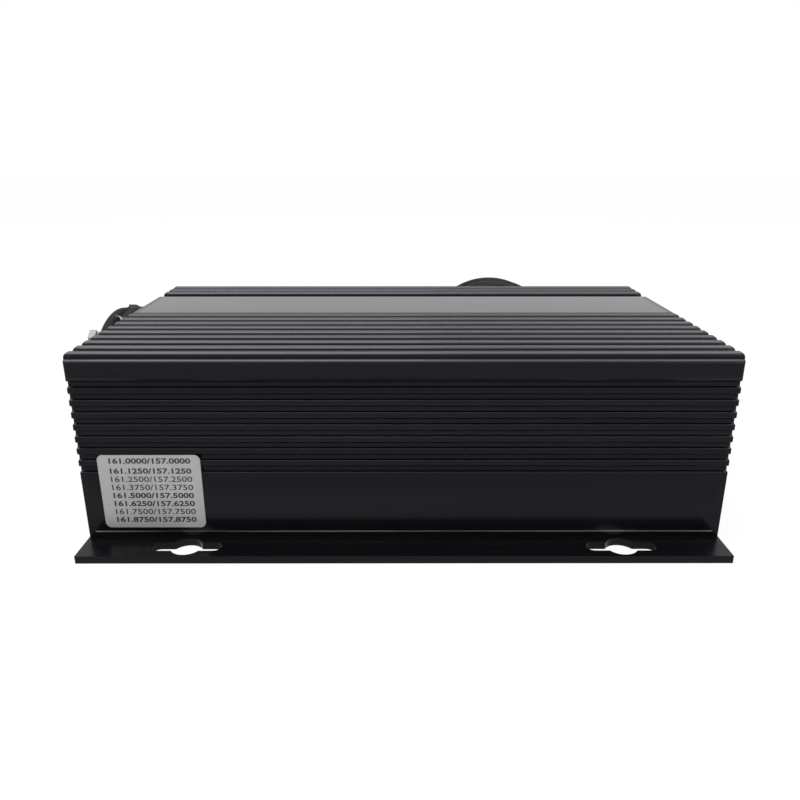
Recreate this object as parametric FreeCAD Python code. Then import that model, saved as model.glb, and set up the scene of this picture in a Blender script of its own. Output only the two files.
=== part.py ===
import FreeCAD, Part
import math
import os

os.makedirs("parts", exist_ok=True)

V = FreeCAD.Vector
X_AXIS = V(1, 0, 0)
Y_AXIS = V(0, 1, 0)
Z_AXIS = V(0, 0, 1)

# Frame: millimetres, +Z up, X along the housing, -Y is the labelled front.
# The origin is the middle of the underside of the base plate.

# Housing
case_length = 200.0
case_depth = 114.0
case_height = 62.8
wall = 2.5
roof = 2.6
end_plate = 2.0
crest_end_radius = 1.3
wall_end_radius = 0.9
base_thickness = 2.5
ear_width = 12.0
rail_height = 1.4
tongue = 1.6
tongue_height = 5.0
fit_gap = 0.3
seam_chamfer = 0.35

# Roof ribs, smooth band and corner beads
rib_width = 3.7
rib_height = 2.6
rib_pitch = 6.53
front_ribs = 9
rear_ribs = 3
front_rib_inset = 2.5
rear_rib_inset = 2.5
rear_rib_gap = 5.83
band_drop = 0.6
band_slope = 2.8
band_slope_rise = 0.6
bead_proud = 0.7
bead_height = 6.3
bead_width = 4.0
bead_drop = 1.8
bead_radius = 2.2
bead_foot_radius = 3.0

# Front and rear wall grooves
groove_count = 8
groove_floor = 0.6
groove_radius = 0.6
groove_depth = 2 * groove_radius
groove_pitch = 3.91
groove_start = 9.6

# Keyhole slots in the flanges
keyhole_spacing = 135.0
keyhole_inset = 6.2
keyhole_length = 22.0
keyhole_width = 5.0
keyhole_eye = 9.8

# Screw ports that run along the shell and the base
port_inset = 6.0
port_radius = 3.6
port_bore = 1.35
port_web = 3.2
upper_port_drop = 4.6
lower_port_rise = 4.4
port_screw_length = 12.0

# Screws
screw_radius = 1.5
screw_play = 0.1
head_radius = 2.8
head_height = 2.0
recess_width = 0.8
recess_length = 3.2
recess_depth = 1.1
countersink_radius = 3.0
countersink_height = 1.6

# Channel label
label_length = 31.6
label_height = 24.8
label_thickness = 0.2
label_corner = 1.8
label_from_end = 5.8
label_rise = 5.9

# Main board and its pillars
board_thickness = 1.6
board_left_gap = 6.0
board_right_gap = 20.0
board_side_gap = 1.9
pillar_height = 7.0
pillar_flats = 5.5
pillar_edge = 6.0

# Heat spreader and power transistors
spreader_length = 64.0
spreader_width = 36.0
spreader_centre = 10.0
spreader_gap = 0.3
spreader_screw_inset = 5.0
transistor_pitch = 24.0
flange_length = 24.0
flange_width = 10.0
flange_thickness = 1.5
flange_screw_inset = 2.7
transistor_body = 9.0
transistor_height = 3.0
window_gap = 0.6
lead_thickness = 0.3
lead_reach = 4.0

# Components on the main board
transformer_length = 14.0
transformer_width = 14.0
transformer_height = 8.0
transformer_bore = 2.4
transformer_gap = 6.0
ring_outer = 6.0
ring_inner = 3.0
ring_height = 5.0
ring_pitch = 15.0
ring_count = 3
ring_inset = 12.0
filter_length = 20.0
filter_width = 14.0
filter_height = 13.0
filter_gap = 4.0
filter_count = 2
filter_inset = 10.0
trimmer_radius = 3.2
trimmer_height = 3.5
trimmer_pitch = 8.0
trimmer_count = 4
trimmer_inset = 14.0
trimmer_shift = 4.0
trimmer_slot = 0.8
relay_length = 10.0
relay_width = 15.0
relay_height = 14.0
relay_inset = 12.0
relay_shift = 10.5
storage_radius = 5.0
storage_height = 16.0
storage_pitch = 12.0
storage_count = 3
storage_inset = 14.0
storage_from_edge = 8.0
chip_size = 10.0
chip_height = 1.6
chip_pitch = 14.0
chip_count = 3
chip_from_edge = 3.0
chip_inset = 22.0

# Supply terminal, fuse and wires inside
terminal_length = 9.0
terminal_width = 14.0
terminal_height = 11.0
terminal_inset = 5.5
terminal_bore = 1.3
terminal_depth = 6.0
terminal_pitch = 5.2
fuse_length = 10.9
fuse_thickness = 3.6
fuse_height = 12.0
holder_wall = 1.2
holder_end = 1.5
holder_floor = 2.0
holder_height = 9.0
holder_inset = 3.0
holder_gap = 1.5
wire_diameter = 2.2
wire_spread = 1.5
jack_cable_diameter = 2.4
cable_landing_inset = 9.0
cable_straight = 10.0
cable_rise = 3.0
antenna_cable_side = 7.0
antenna_cable_knee = 14.0
radio_cable_side = 1.0
radio_cable_knee = 1.2

# Shield can
can_length = 76.0
can_width = 48.0
can_height = 24.0
can_wall = 0.6

# Radio frequency jacks
jack_radius = 7.9
jack_length = 11.0
jack_flange_radius = 10.5
jack_flange = 2.0
jack_bore = 5.6
jack_floor = 1.0
jack_rear = 6.0
contact_reach = 4.0
insulator_radius = 3.5
contact_radius = 1.5
contact_length = 7.0
contact_core = 0.75
jack_nut_flats = 19.0
jack_nut_height = 2.5
jack_washer = 0.6
jack_from_selector = 28.0
jack_pitch = 25.0
jack_pair_lift = 0.45
hole_play = 0.2

# Channel selector
selector_y = 0.0
selector_lift = 3.95
switch_body = 15.0
switch_depth = 11.5
bush_radius = 4.5
bush_length = 5.0
shaft_radius = 3.0
shaft_play = 0.05
shaft_length = 15.0
selector_nut_flats = 12.0
selector_nut_height = 2.2
dial_radius = 16.5
dial_thickness = 0.8
knob_radius = 11.0
knob_length = 15.6
knob_cavity = 7.6
knob_flutes = 16
flute_radius = 1.3
knob_chamfer = 1.0
pointer_width = 1.2
pointer_depth = 0.6
set_screw_radius = 1.5

# Power rocker switch
rocker_from_selector = 34.0
rocker_lift = 1.95
rocker_half = 8.0
rocker_width = 9.4
rocker_tilt = 10.0
rocker_edge = 2.6
rocker_dip = 1.5
rocker_root = 3.0
bezel_half_height = 10.8
bezel_half_width = 7.2
bezel_thickness = 1.6
bezel_wall = 1.2
switch_back = 15.0
pivot_radius = 1.0
pivot_play = 0.05
blade_width = 4.8
blade_thickness = 0.8
blade_length = 7.0
blade_spacing = 6.5

# Indicator lamps
lamp_from_selector = 22.0
lamp_spacing = 11.0
lamp_radius = 2.4
lamp_proud = 1.9
lamp_bezel_radius = 3.4
lamp_bezel = 1.2

# Control board behind the right end plate
control_board_width = 40.0
control_board_height = 27.0
control_board_shift = 5.0
control_board_rise = 3.0
control_pillar_inset = 4.0

# Supply lead: strain relief, coil and plug
supply_diameter = 4.2
winding_gap = 0.5
coil_stand_off = 1.2
supply_coil_y = 10.4
supply_coil_radius = 30.9
supply_start_angle = 315.0
supply_turns = 4.875
supply_outward_turn = 0.889
supply_outward_span = 0.265
supply_inward_turn = 3.63
supply_inward_span = 0.29
supply_climb_turn = 2.815
supply_climb_span = 0.22
supply_last_span = 0.3
supply_bend = 12.6
floor_gap = 0.1
boot_length = 12.6
boot_root_radius = 4.3
boot_tip_radius = 3.1
boot_flange_radius = 5.2
boot_flange = 1.2
boot_stem_radius = 4.0
boot_stem_reach = 1.5
locknut_flats = 12.0
locknut_height = 2.5
plug_length = 26.0
plug_width = 16.0
plug_height = 8.2
plug_pin_radius = 1.2
plug_pin_length = 8.0
plug_pin_pitch = 8.0
supply_tail_run = 69.0
plug_drift = 1.2

# Control lead: strain relief, coil and plug
control_diameter = 4.6
control_coil_x = 41.0
control_coil_radius = 30.2
control_layer_turns = 2.5
control_layers = 4
control_from_wall = 8.5
sleeve_length = 12.0
sleeve_root_radius = 4.6
sleeve_tip_radius = 3.5
sleeve_flange_radius = 6.2
sleeve_flange = 2.0
modular_length = 21.5
modular_width = 11.6
modular_height = 6.6
latch_length = 14.0
latch_width = 6.0
latch_rise = 1.6
latch_thickness = 0.7
control_tail_run = 51.0

# Cable ties
tie_width = 2.5
tie_thickness = 0.8
tie_play = 0.15
tie_corner = 2.0
tie_head_length = 3.8
tie_head_width = 3.1
tie_head_proud = 1.45
clear_head_height = 2.35
clear_head_depth = 2.0
clear_head_proud = 0.9
clear_tail_width = 1.2
clear_tail_thickness = 0.5
clear_tail_lift = 0.4
clear_tail_sweep = 19.0
clear_tail_bow = 12.0
clear_tail_dip = 1.2
clear_tail_tip = 4.6
clear_tail_rise = 0.1
clear_tie_angle = 126.0
dark_tie_angle = 65.0
dark_tie_seat = 0.65
control_tie_angle = 205.0
control_tie_seat = 0.3

# Worked out places
half_length = case_length / 2
half_depth = case_depth / 2
shell_half = half_length - end_plate
roof_floor = case_height - rib_height
ceiling = roof_floor - roof
shell_bottom = base_thickness + rail_height
inner_wall = half_depth - wall
flange_edge = half_depth + ear_width
port_y = inner_wall - port_inset
upper_port_z = ceiling - upper_port_drop
lower_port_z = base_thickness + lower_port_rise
keyhole_y = half_depth + keyhole_inset
board_left = -shell_half + board_left_gap
board_right = shell_half - board_right_gap
board_half_width = port_y - port_radius - board_side_gap
board_bottom = base_thickness + pillar_height
board_top = board_bottom + board_thickness
spreader_top = board_bottom - spreader_gap
panel_middle = (base_thickness + ceiling) / 2
jack_middle = panel_middle + jack_pair_lift
antenna_jack_z = jack_middle + jack_pitch / 2
radio_jack_z = jack_middle - jack_pitch / 2
jack_y = selector_y + jack_from_selector
selector_z = panel_middle + selector_lift
rocker_y = selector_y - rocker_from_selector
rocker_z = panel_middle + rocker_lift
lamp_y = selector_y - lamp_from_selector
lamp_z = selector_z
control_y = inner_wall - control_from_wall
control_z = jack_middle
control_board_y = selector_y - control_board_shift
control_board_x = shell_half - switch_depth - board_thickness
supply_pitch = supply_diameter + winding_gap
control_pitch = control_diameter + winding_gap
supply_coil_reach = supply_coil_radius - supply_diameter / 2
control_coil_reach = control_coil_radius + control_pitch / 4 - control_diameter / 2
boot_stem_end = -shell_half + locknut_height + boot_stem_reach
jack_back = shell_half - jack_rear
contact_back = jack_back - contact_reach


def box(x0, x1, y0, y1, z0, z1):
    return Part.makeBox(x1 - x0, y1 - y0, z1 - z0, V(x0, y0, z0))


def rod(radius, length, start, axis=X_AXIS):
    return Part.makeCylinder(radius, length, start, axis)


def tube_ring(outer, inner, length, start, axis=X_AXIS):
    return rod(outer, length, start, axis).cut(rod(inner, length, start, axis))


def hex_bar(flats, length, start, axis=X_AXIS):
    corner = flats / math.sqrt(3)
    points = []
    for k in range(7):
        angle = math.radians(60 * k)
        points.append(V(corner * math.cos(angle), corner * math.sin(angle), 0))
    bar = Part.Face(Part.makePolygon(points)).extrude(V(0, 0, length))
    bar.Placement = FreeCAD.Placement(start, FreeCAD.Rotation(Z_AXIS, axis))
    return bar


def polygon_yz(points):
    corners = [V(0, y, z) for y, z in points]
    return Part.Face(Part.makePolygon(corners + corners[:1]))


def rect_yz(y0, y1, z0, z1):
    return polygon_yz([(y0, z0), (y1, z0), (y1, z1), (y0, z1)])


def disc_yz(y, z, radius):
    return Part.Face(Part.Wire(Part.makeCircle(radius, V(0, y, z), X_AXIS)))


def prism_x(face, x0, x1):
    start = face.copy()
    start.translate(V(x0, 0, 0))
    return start.extrude(V(x1 - x0, 0, 0))


def merged(shapes):
    return shapes[0].multiFuse(shapes[1:]).removeSplitter()


def save(name, shape):
    solids = shape.Solids
    result = solids[0] if len(solids) == 1 else Part.makeCompound(solids)
    if not result.isValid():
        print("not valid:", name)
    result.exportStep("parts/" + name + ".step")
    print(name, len(solids), "solids", round(result.Volume, 1), "mm3")


# Faces of the ribbed section, shared by the shell and the end plates

def rib_face(y):
    half = rib_width / 2
    low = roof_floor - roof / 2
    spring = case_height - half
    edges = [
        Part.makeLine(V(0, y - half, low), V(0, y - half, spring)),
        Part.Arc(V(0, y - half, spring), V(0, y, case_height), V(0, y + half, spring)).toShape(),
        Part.makeLine(V(0, y + half, spring), V(0, y + half, low)),
        Part.makeLine(V(0, y + half, low), V(0, y - half, low)),
    ]
    return Part.Face(Part.Wire(edges))


def arc_yz(centre, radius, angles):
    """An arc through three angles, counted in degrees from +Y towards +Z."""
    turns = [math.radians(angle) for angle in angles]
    return Part.Arc(*[centre + V(0, radius * math.cos(a), radius * math.sin(a)) for a in turns])


def closed_face(edges):
    return Part.Face(Part.Wire(edges))


def bead_face(side):
    """Drawn for the rear corner: a round shoulder, a flat and a slow curve back to the wall."""
    outer = half_depth + bead_proud
    inner = outer - bead_width
    top = case_height - bead_drop
    low = top - bead_height
    foot_turn = math.degrees(math.acos(1 - bead_proud / bead_foot_radius))
    foot_rise = bead_foot_radius * math.sin(math.radians(foot_turn))
    shoulder = V(0, outer - bead_radius, top - bead_radius)
    foot = V(0, outer - bead_foot_radius, low + foot_rise)
    face = closed_face([
        Part.makeLine(V(0, inner, low), V(0, half_depth, low)),
        arc_yz(foot, bead_foot_radius, (-foot_turn, -foot_turn / 2, 0)).toShape(),
        Part.makeLine(V(0, outer, foot.z), V(0, outer, shoulder.z)),
        arc_yz(shoulder, bead_radius, (0, 45, 90)).toShape(),
        Part.makeLine(V(0, shoulder.y, top), V(0, inner, top)),
        Part.makeLine(V(0, inner, top), V(0, inner, low)),
    ])
    return face if side > 0 else face.mirror(V(0, 0, 0), Y_AXIS)


def groove_face(side, z):
    """Drawn for the rear wall: round lips run into a round bottom with a short floor."""
    lip = half_depth - groove_radius
    half = groove_floor / 2
    mouth = half + 2 * groove_radius
    bottom = half_depth - groove_depth
    out = half_depth + 1
    face = closed_face([
        Part.makeLine(V(0, out, z - mouth), V(0, half_depth, z - mouth)),
        arc_yz(V(0, lip, z - mouth), groove_radius, (0, 45, 90)).toShape(),
        arc_yz(V(0, lip, z - half), groove_radius, (270, 225, 180)).toShape(),
        Part.makeLine(V(0, bottom, z - half), V(0, bottom, z + half)),
        arc_yz(V(0, lip, z + half), groove_radius, (180, 135, 90)).toShape(),
        arc_yz(V(0, lip, z + mouth), groove_radius, (270, 315, 360)).toShape(),
        Part.makeLine(V(0, half_depth, z + mouth), V(0, out, z + mouth)),
        Part.makeLine(V(0, out, z + mouth), V(0, out, z - mouth)),
    ])
    return face if side > 0 else face.mirror(V(0, 0, 0), Y_AXIS)


def ribbed_block(low, x0, x1):
    front_rows = [-half_depth + front_rib_inset + k * rib_pitch for k in range(front_ribs)]
    rear_rows = [half_depth - rear_rib_inset - k * rib_pitch for k in range(rear_ribs)]
    band_front = front_rows[-1] + rib_width / 2
    band_rear = rear_rows[-1] - rib_width / 2 - rear_rib_gap
    band_low = roof_floor - roof / 2
    band_top = case_height - band_drop
    faces = [
        rect_yz(-half_depth, half_depth, low, roof_floor),
        polygon_yz([(band_front, band_low), (band_front, band_top - band_slope_rise),
                    (band_front + band_slope, band_top), (band_rear, band_top),
                    (band_rear, band_low)]),
        bead_face(-1),
        bead_face(1),
    ]
    faces += [rib_face(y) for y in front_rows + rear_rows]
    top_groove = case_height - groove_start
    grooves = [groove_face(side, top_groove - k * groove_pitch)
               for side in (-1, 1) for k in range(groove_count)]
    block = merged([prism_x(face, x0, x1) for face in faces])
    return block.cut([prism_x(face, x0 - 1, x1 + 1) for face in grooves])


def port_posts(z, web_low, web_high):
    posts = []
    for y in (-port_y, port_y):
        posts.append(prism_x(disc_yz(y, z, port_radius), -shell_half, shell_half))
        web = rect_yz(y - port_web / 2, y + port_web / 2, web_low, web_high)
        posts.append(prism_x(web, -shell_half, shell_half))
    return posts


def port_bores(z):
    return [rod(port_bore, 2 * shell_half + 2, V(-shell_half - 1, y, z)) for y in (-port_y, port_y)]


# Screws, drawn along +Z with the head above the origin

def cross_recess(top):
    half = recess_width / 2
    reach = recess_length / 2
    low = top - recess_depth
    first = box(-half, half, -reach, reach, low, top + 1)
    second = box(-reach, reach, -half, half, low, top + 1)
    return first.fuse(second)


def pan_screw(radius, length):
    head = rod(head_radius, head_height, V(0, 0, 0), Z_AXIS)
    rim = [edge for edge in head.Edges if edge.BoundBox.ZMin > head_height / 2]
    head = head.makeFillet(head_height * 0.45, [edge for edge in rim if edge.Length > head_radius])
    shank = rod(radius, length, V(0, 0, -length), Z_AXIS)
    return head.fuse(shank).cut(cross_recess(head_height))


def countersunk_screw(radius, length):
    head = Part.makeCone(radius, countersink_radius, countersink_height,
                         V(0, 0, -countersink_height), Z_AXIS)
    shank = rod(radius, length - countersink_height, V(0, 0, -length), Z_AXIS)
    return head.fuse(shank).cut(cross_recess(0))


def placed(shape, position, axis):
    piece = shape.copy()
    piece.Placement = FreeCAD.Placement(position, FreeCAD.Rotation(Z_AXIS, axis))
    return piece


def screw_set(screw, places, axis):
    return Part.makeCompound([placed(screw, place, axis) for place in places])


# Leads: smooth paths of arcs with one round section

def arc_edge(start, heading, end):
    chord = end - start
    along = chord.dot(heading) / chord.Length
    if along > 0.9999999:
        return Part.LineSegment(start, end).toShape()
    half_turn = math.acos(along)
    side = (heading - chord * (heading.dot(chord) / chord.dot(chord))).normalize()
    middle = (start + end) * 0.5 + side * (chord.Length / 2 * math.tan(half_turn / 2))
    return Part.Arc(start, middle, end).toShape()


def biarc_edges(start, heading, end, leaving):
    gap = end - start
    both = heading + leaving
    square = 2 * (heading.dot(leaving) - 1)
    linear = -2 * gap.dot(both)
    constant = gap.dot(gap)
    if abs(square) < 1e-9:
        reach = -constant / linear
    else:
        root = math.sqrt(linear * linear - 4 * square * constant)
        reach = (-linear - root) / (2 * square)
    joint = (start + end + (heading - leaving) * reach) * 0.5
    first = arc_edge(start, heading, joint)
    second = arc_edge(end, leaving * -1, joint)
    second = Part.Edge(second)
    return [first, second]


def sweep_round(edges, start, heading, radius):
    wire = Part.Wire(Part.__sortEdges__(edges))
    section = Part.Wire(Part.makeCircle(radius, start, heading))
    shell = Part.BRepOffsetAPI.MakePipeShell(wire)
    shell.add(section)
    shell.build()
    shell.makeSolid()
    return shell.shape(), wire.Length


def lead_tube(name, points, diameter):
    edges = []
    radii = []
    at = points[0]
    for k in range(1, len(points) - 1):
        before = points[k] - points[k - 1]
        after = points[k + 1] - points[k]
        turn = before.getAngle(after)
        setback = 0.45 * min(before.Length, after.Length)
        radii.append(setback / math.tan(turn / 2))
        enter = points[k] - before.normalize() * setback
        leave = points[k] + after.normalize() * setback
        edges.append(Part.LineSegment(at, enter).toShape())
        edges.append(arc_edge(enter, before, leave))
        at = leave
    edges.append(Part.LineSegment(at, points[-1]).toShape())
    heading = (points[1] - points[0]).normalize()
    solid, length = sweep_round(edges, points[0], heading, diameter / 2)
    section = math.pi * diameter ** 2 / 4
    print(name, "length", round(length, 1), "radii", [round(r, 1) for r in radii],
          "volume over section times length", round(solid.Volume / section / length, 4))
    return solid


def eased(share):
    return 0.5 - 0.5 * math.cos(math.pi * min(1.0, max(0.0, share)))


class Winding:
    """Loops about one axis, from a start angle and radius.

    Spirals are (start turn, turns, way) and grow evenly. Steps are (middle turn, span, way)
    and shift the lead by one pitch on a short stretch. Climbs do the same along the axis.
    """

    def __init__(self, centre, first, second, axis, diameter, pitch, angle, radius, turns,
                 spirals, steps, climbs):
        self.centre = centre
        self.first = first
        self.second = second
        self.axis = axis
        self.diameter = diameter
        self.pitch = pitch
        self.angle = angle
        self.radius = radius
        self.turns = turns
        self.spirals = spirals
        self.steps = steps
        self.climbs = climbs

    def radius_at(self, turn):
        even = [way * min(turns, max(0.0, turn - start)) for start, turns, way in self.spirals]
        short = [way * eased((turn - middle) / span + 0.5) for middle, span, way in self.steps]
        return self.radius + self.pitch * (sum(even) + sum(short))

    def height_at(self, turn):
        return self.pitch * sum(eased((turn - middle) / span + 0.5) for middle, span in self.climbs)

    def at(self, turn):
        angle = math.radians(self.angle + 360 * turn)
        radius = self.radius_at(turn)
        flat = self.first * (radius * math.cos(angle)) + self.second * (radius * math.sin(angle))
        return self.centre + flat + self.axis * self.height_at(turn)

    def directions(self, angle):
        spin = math.radians(angle)
        radial = self.first * math.cos(spin) + self.second * math.sin(spin)
        return radial, self.axis.cross(radial)

    def spot(self, angle, radius, height):
        return self.centre + self.directions(angle)[0] * radius + self.axis * height

    def heading_at(self, turn):
        step = 0.001
        return (self.at(turn + step) - self.at(turn - step)).normalize()

    def edges(self):
        count = math.ceil(self.turns * 4)
        marks = [self.turns * k / count for k in range(count + 1)]
        result = []
        for a, b in zip(marks, marks[1:]):
            result += biarc_edges(self.at(a), self.heading_at(a), self.at(b), self.heading_at(b))
        return result

    def least_gap(self):
        steps = 72
        count = int(self.turns * steps)
        points = [self.at(k / steps) for k in range(count + 1)]
        least = 1e9
        for i in range(0, count, 2):
            for j in range(i + steps // 2, count + 1, 2):
                least = min(least, (points[i] - points[j]).Length)
        return least - self.diameter

    def bundle(self, angle):
        radii = []
        heights = []
        turn = ((angle - self.angle) % 360) / 360
        while turn <= self.turns:
            radii.append(self.radius_at(turn))
            heights.append(self.height_at(turn))
            turn += 1
        half = self.diameter / 2
        return min(radii) - half, max(radii) + half, min(heights) - half, max(heights) + half


def coil_solid(name, winding, lead_in, lead_out):
    edges = lead_in + winding.edges() + lead_out
    first = edges[0]
    start = first.valueAt(first.FirstParameter)
    heading = first.tangentAt(first.FirstParameter)
    solid, length = sweep_round(edges, start, heading, winding.diameter / 2)
    section = math.pi * winding.diameter ** 2 / 4
    print(name, "turns", winding.turns, "length", round(length, 1),
          "least gap to itself", round(winding.least_gap(), 2),
          "volume over section times length", round(solid.Volume / section / length, 4))
    return solid


def tie_band(low, high, near, far):
    outer = box(low - tie_thickness, high + tie_thickness, -tie_width / 2, tie_width / 2,
                near - tie_thickness, far + tie_thickness)
    inner = box(low, high, -tie_width, tie_width, near, far)
    rims = [[edge for edge in block.Edges if abs(edge.tangentAt(edge.FirstParameter).y) > 0.9]
            for block in (outer, inner)]
    return outer.makeFillet(tie_corner + tie_thickness, rims[0]).cut(
        inner.makeFillet(tie_corner, rims[1]))


def tie_room(winding, angle):
    """The rectangle inside a tie: radii low and high, heights near and far."""
    low, high, near, far = winding.bundle(angle)
    low -= tie_play + tie_width ** 2 / (8 * low)
    return low, high + tie_play, near - tie_play, far + tie_play


def stood_on(winding, angle, piece):
    """Turn a piece drawn as (radius, across, height) to its place on the coil."""
    radial, across = winding.directions(angle)
    axis = winding.axis
    centre = winding.centre
    return piece.transformGeometry(FreeCAD.Matrix(
        radial.x, across.x, axis.x, centre.x,
        radial.y, across.y, axis.y, centre.y,
        radial.z, across.z, axis.z, centre.z,
        0, 0, 0, 1))


def tie_with_top_head(winding, angle, seat):
    low, high, near, far = tie_room(winding, angle)
    middle = near + (far - near) * seat
    head = box(high, high + tie_head_proud, -tie_head_length / 2, tie_head_length / 2,
               middle - tie_head_width / 2, middle + tie_head_width / 2)
    return stood_on(winding, angle, merged([tie_band(low, high, near, far), head]))


def tie_with_far_head(winding, angle):
    low, high, near, far = tie_room(winding, angle)
    head = box(high - clear_head_depth, high + clear_head_proud,
               -tie_head_length / 2, tie_head_length / 2, far, far + clear_head_height)
    return stood_on(winding, angle, merged([tie_band(low, high, near, far), head]))


def tie_tail(winding, angle):
    low, high, near, far = tie_room(winding, angle)
    reach = high + clear_tail_lift
    marks = [
        winding.spot(angle, reach, far - tie_thickness),
        winding.spot(angle - clear_tail_bow, reach, near + clear_tail_dip),
        winding.spot(angle - clear_tail_sweep, reach + clear_tail_rise, near + clear_tail_tip),
    ]
    radial, across = winding.directions(angle - clear_tail_sweep / 2)
    side = (marks[2] - marks[0]).cross(radial).normalize() * (clear_tail_width / 2)
    rims = [Part.Arc(*[mark + side * sign for mark in marks]).toShape() for sign in (-1, 1)]
    return Part.makeRuledSurface(rims[0], rims[1]).extrude(radial * clear_tail_thickness)


# The two coils and the places that hang on them

def supply_winding():
    layer_x = -half_length - coil_stand_off - supply_diameter / 2
    outward = [(supply_outward_turn + k, supply_outward_span, 1) for k in range(2)]
    inward = [(supply_inward_turn + k, supply_inward_span, -1) for k in range(2)]
    last_climb = supply_turns - supply_last_span / 2
    return Winding(
        V(layer_x, supply_coil_y, floor_gap + supply_coil_radius), Y_AXIS, Z_AXIS, X_AXIS * -1,
        supply_diameter, supply_pitch, supply_start_angle, supply_coil_reach - 2 * supply_pitch,
        supply_turns, [], outward + inward,
        [(supply_climb_turn, supply_climb_span), (last_climb, supply_last_span)])


def control_winding():
    lowest = base_thickness + fit_gap + control_diameter / 2
    far_y = (half_depth + bead_proud + fit_gap + control_diameter / 2
             + (control_layers - 1) * control_pitch)
    spirals = [(layer * control_layer_turns, control_layer_turns, -1 if layer % 2 == 0 else 1)
               for layer in range(control_layers)]
    climbs = [(layer * control_layer_turns, 0.5) for layer in range(1, control_layers)]
    return Winding(
        V(control_coil_x, far_y, lowest + control_coil_reach), X_AXIS * -1, Z_AXIS, Y_AXIS * -1,
        control_diameter, control_pitch, 270.0, control_coil_reach,
        control_layers * control_layer_turns, spirals, [], climbs)


supply = supply_winding()
control = control_winding()
supply_entry = supply.at(0)
supply_entry_heading = supply.heading_at(0)
bend_side = V(0, -supply_entry_heading.z, supply_entry_heading.y).normalize()
bend_centre = supply_entry + bend_side * supply_bend
bend_start = bend_centre - Y_AXIS * supply_bend
bend_start.x = supply_entry.x
boot_outlet = bend_start + Z_AXIS * supply_diameter
boot_root = boot_outlet + Z_AXIS * (boot_length - boot_root_radius)


def base_plate():
    pieces = [box(-half_length, half_length, -flange_edge, flange_edge, 0, base_thickness)]
    inner = inner_wall - fit_gap
    for side in (-1, 1):
        near, far = sorted((side * inner_wall, side * half_depth))
        pieces.append(box(-shell_half, shell_half, near, far, 0, shell_bottom))
        near, far = sorted((side * inner, side * (inner - tongue)))
        pieces.append(box(-shell_half, shell_half, near, far, 0, base_thickness + tongue_height))
    body = merged(pieces + port_posts(lower_port_z, base_thickness / 2, lower_port_z))
    cuts = port_bores(lower_port_z)
    for x in (-keyhole_spacing / 2, keyhole_spacing / 2):
        for y in (-keyhole_y, keyhole_y):
            cuts += keyhole_cutters(x, y)
    for x, y in pillar_places() + spreader_places():
        cuts.append(rod(screw_radius + screw_play, base_thickness + 2, V(x, y, -1), Z_AXIS))
        cuts.append(Part.makeCone(countersink_radius + screw_play, screw_radius + screw_play,
                                  countersink_height, V(x, y, 0), Z_AXIS))
    return body.cut(cuts)


def keyhole_cutters(x, y):
    half = keyhole_length / 2 - keyhole_width / 2
    depth = base_thickness + 2
    straight = box(x - half, x + half, y - keyhole_width / 2, y + keyhole_width / 2, -1, depth - 1)
    ends = [rod(keyhole_width / 2, depth, V(x + end, y, -1), Z_AXIS) for end in (-half, half)]
    eye = rod(keyhole_eye / 2, depth, V(x, y, -1), Z_AXIS)
    return [straight, eye] + ends


def pillar_places():
    middle = (board_left + board_right) / 2
    columns = (board_left + pillar_edge, middle, board_right - pillar_edge)
    row = board_half_width - pillar_edge
    return [(x, y) for x in columns for y in (-row, row)]


def spreader_places():
    reach = spreader_length / 2 - spreader_screw_inset
    row = spreader_width / 2 - spreader_screw_inset
    return [(spreader_centre + x, y) for x in (-reach, reach) for y in (-row, row)]


def cover_shell():
    block = ribbed_block(shell_bottom, -shell_half, shell_half)
    cavity = box(-shell_half - 1, shell_half + 1, -inner_wall, inner_wall, shell_bottom - 1, ceiling)
    body = block.cut(cavity)
    body = merged([body] + port_posts(upper_port_z, upper_port_z, ceiling + roof / 2))
    cuts = port_bores(upper_port_z)
    for side in (-1, 1):
        edge = side * half_depth
        lip = polygon_yz([
            (edge + side, shell_bottom - 1),
            (edge + side, shell_bottom + seam_chamfer + 1),
            (edge, shell_bottom + seam_chamfer),
            (edge - side * seam_chamfer, shell_bottom),
            (edge - side * seam_chamfer, shell_bottom - 1)])
        cuts.append(prism_x(lip, -shell_half - 1, shell_half + 1))
    return body.cut(cuts)


def plate_screw_places(side):
    face = side * half_length
    places = []
    for y in (-port_y, port_y):
        places.append(V(face, y, upper_port_z))
        places.append(V(face, y, lower_port_z))
    return places


def rounded_ends(side):
    """What comes off where the ends of the ribs and of the walls are eased."""
    depth = 2 * (half_depth + bead_proud)
    r = crest_end_radius
    outer = half_length - r
    top = box(outer, half_length + 1, -depth / 2, depth / 2, case_height - r, case_height + 1)
    top = top.cut(rod(r, depth + 2, V(outer, -depth / 2 - 1, case_height - r), Y_AXIS))
    r = wall_end_radius
    outer = half_length - r
    face = depth / 2 - r
    wall_cut = box(outer, half_length + 1, face, depth / 2 + 1, 0, case_height + 1)
    wall_cut = wall_cut.cut(rod(r, case_height + 3, V(outer, face, -1), Z_AXIS))
    cuts = [top, wall_cut, wall_cut.mirror(V(0, 0, 0), Y_AXIS)]
    return cuts if side > 0 else [cut.mirror(V(0, 0, 0), X_AXIS) for cut in cuts]


def end_plate_blank(side):
    inner, outer = sorted((side * shell_half, side * half_length))
    blank = ribbed_block(base_thickness, inner, outer)
    blank = blank.cut(rounded_ends(side))
    holes = [rod(screw_radius + hole_play, end_plate + 2, place - X_AXIS * (side * (end_plate + 1)),
                 X_AXIS * side) for place in plate_screw_places(side)]
    return blank.cut(holes)


def through_right(radius, y, z):
    return rod(radius, end_plate + 2, V(shell_half - 1, y, z))


def left_end_plate():
    hole = rod(boot_stem_radius + hole_play, end_plate + 2,
               V(-half_length - 1, boot_root.y, boot_root.z))
    return end_plate_blank(-1).cut(hole)


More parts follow.
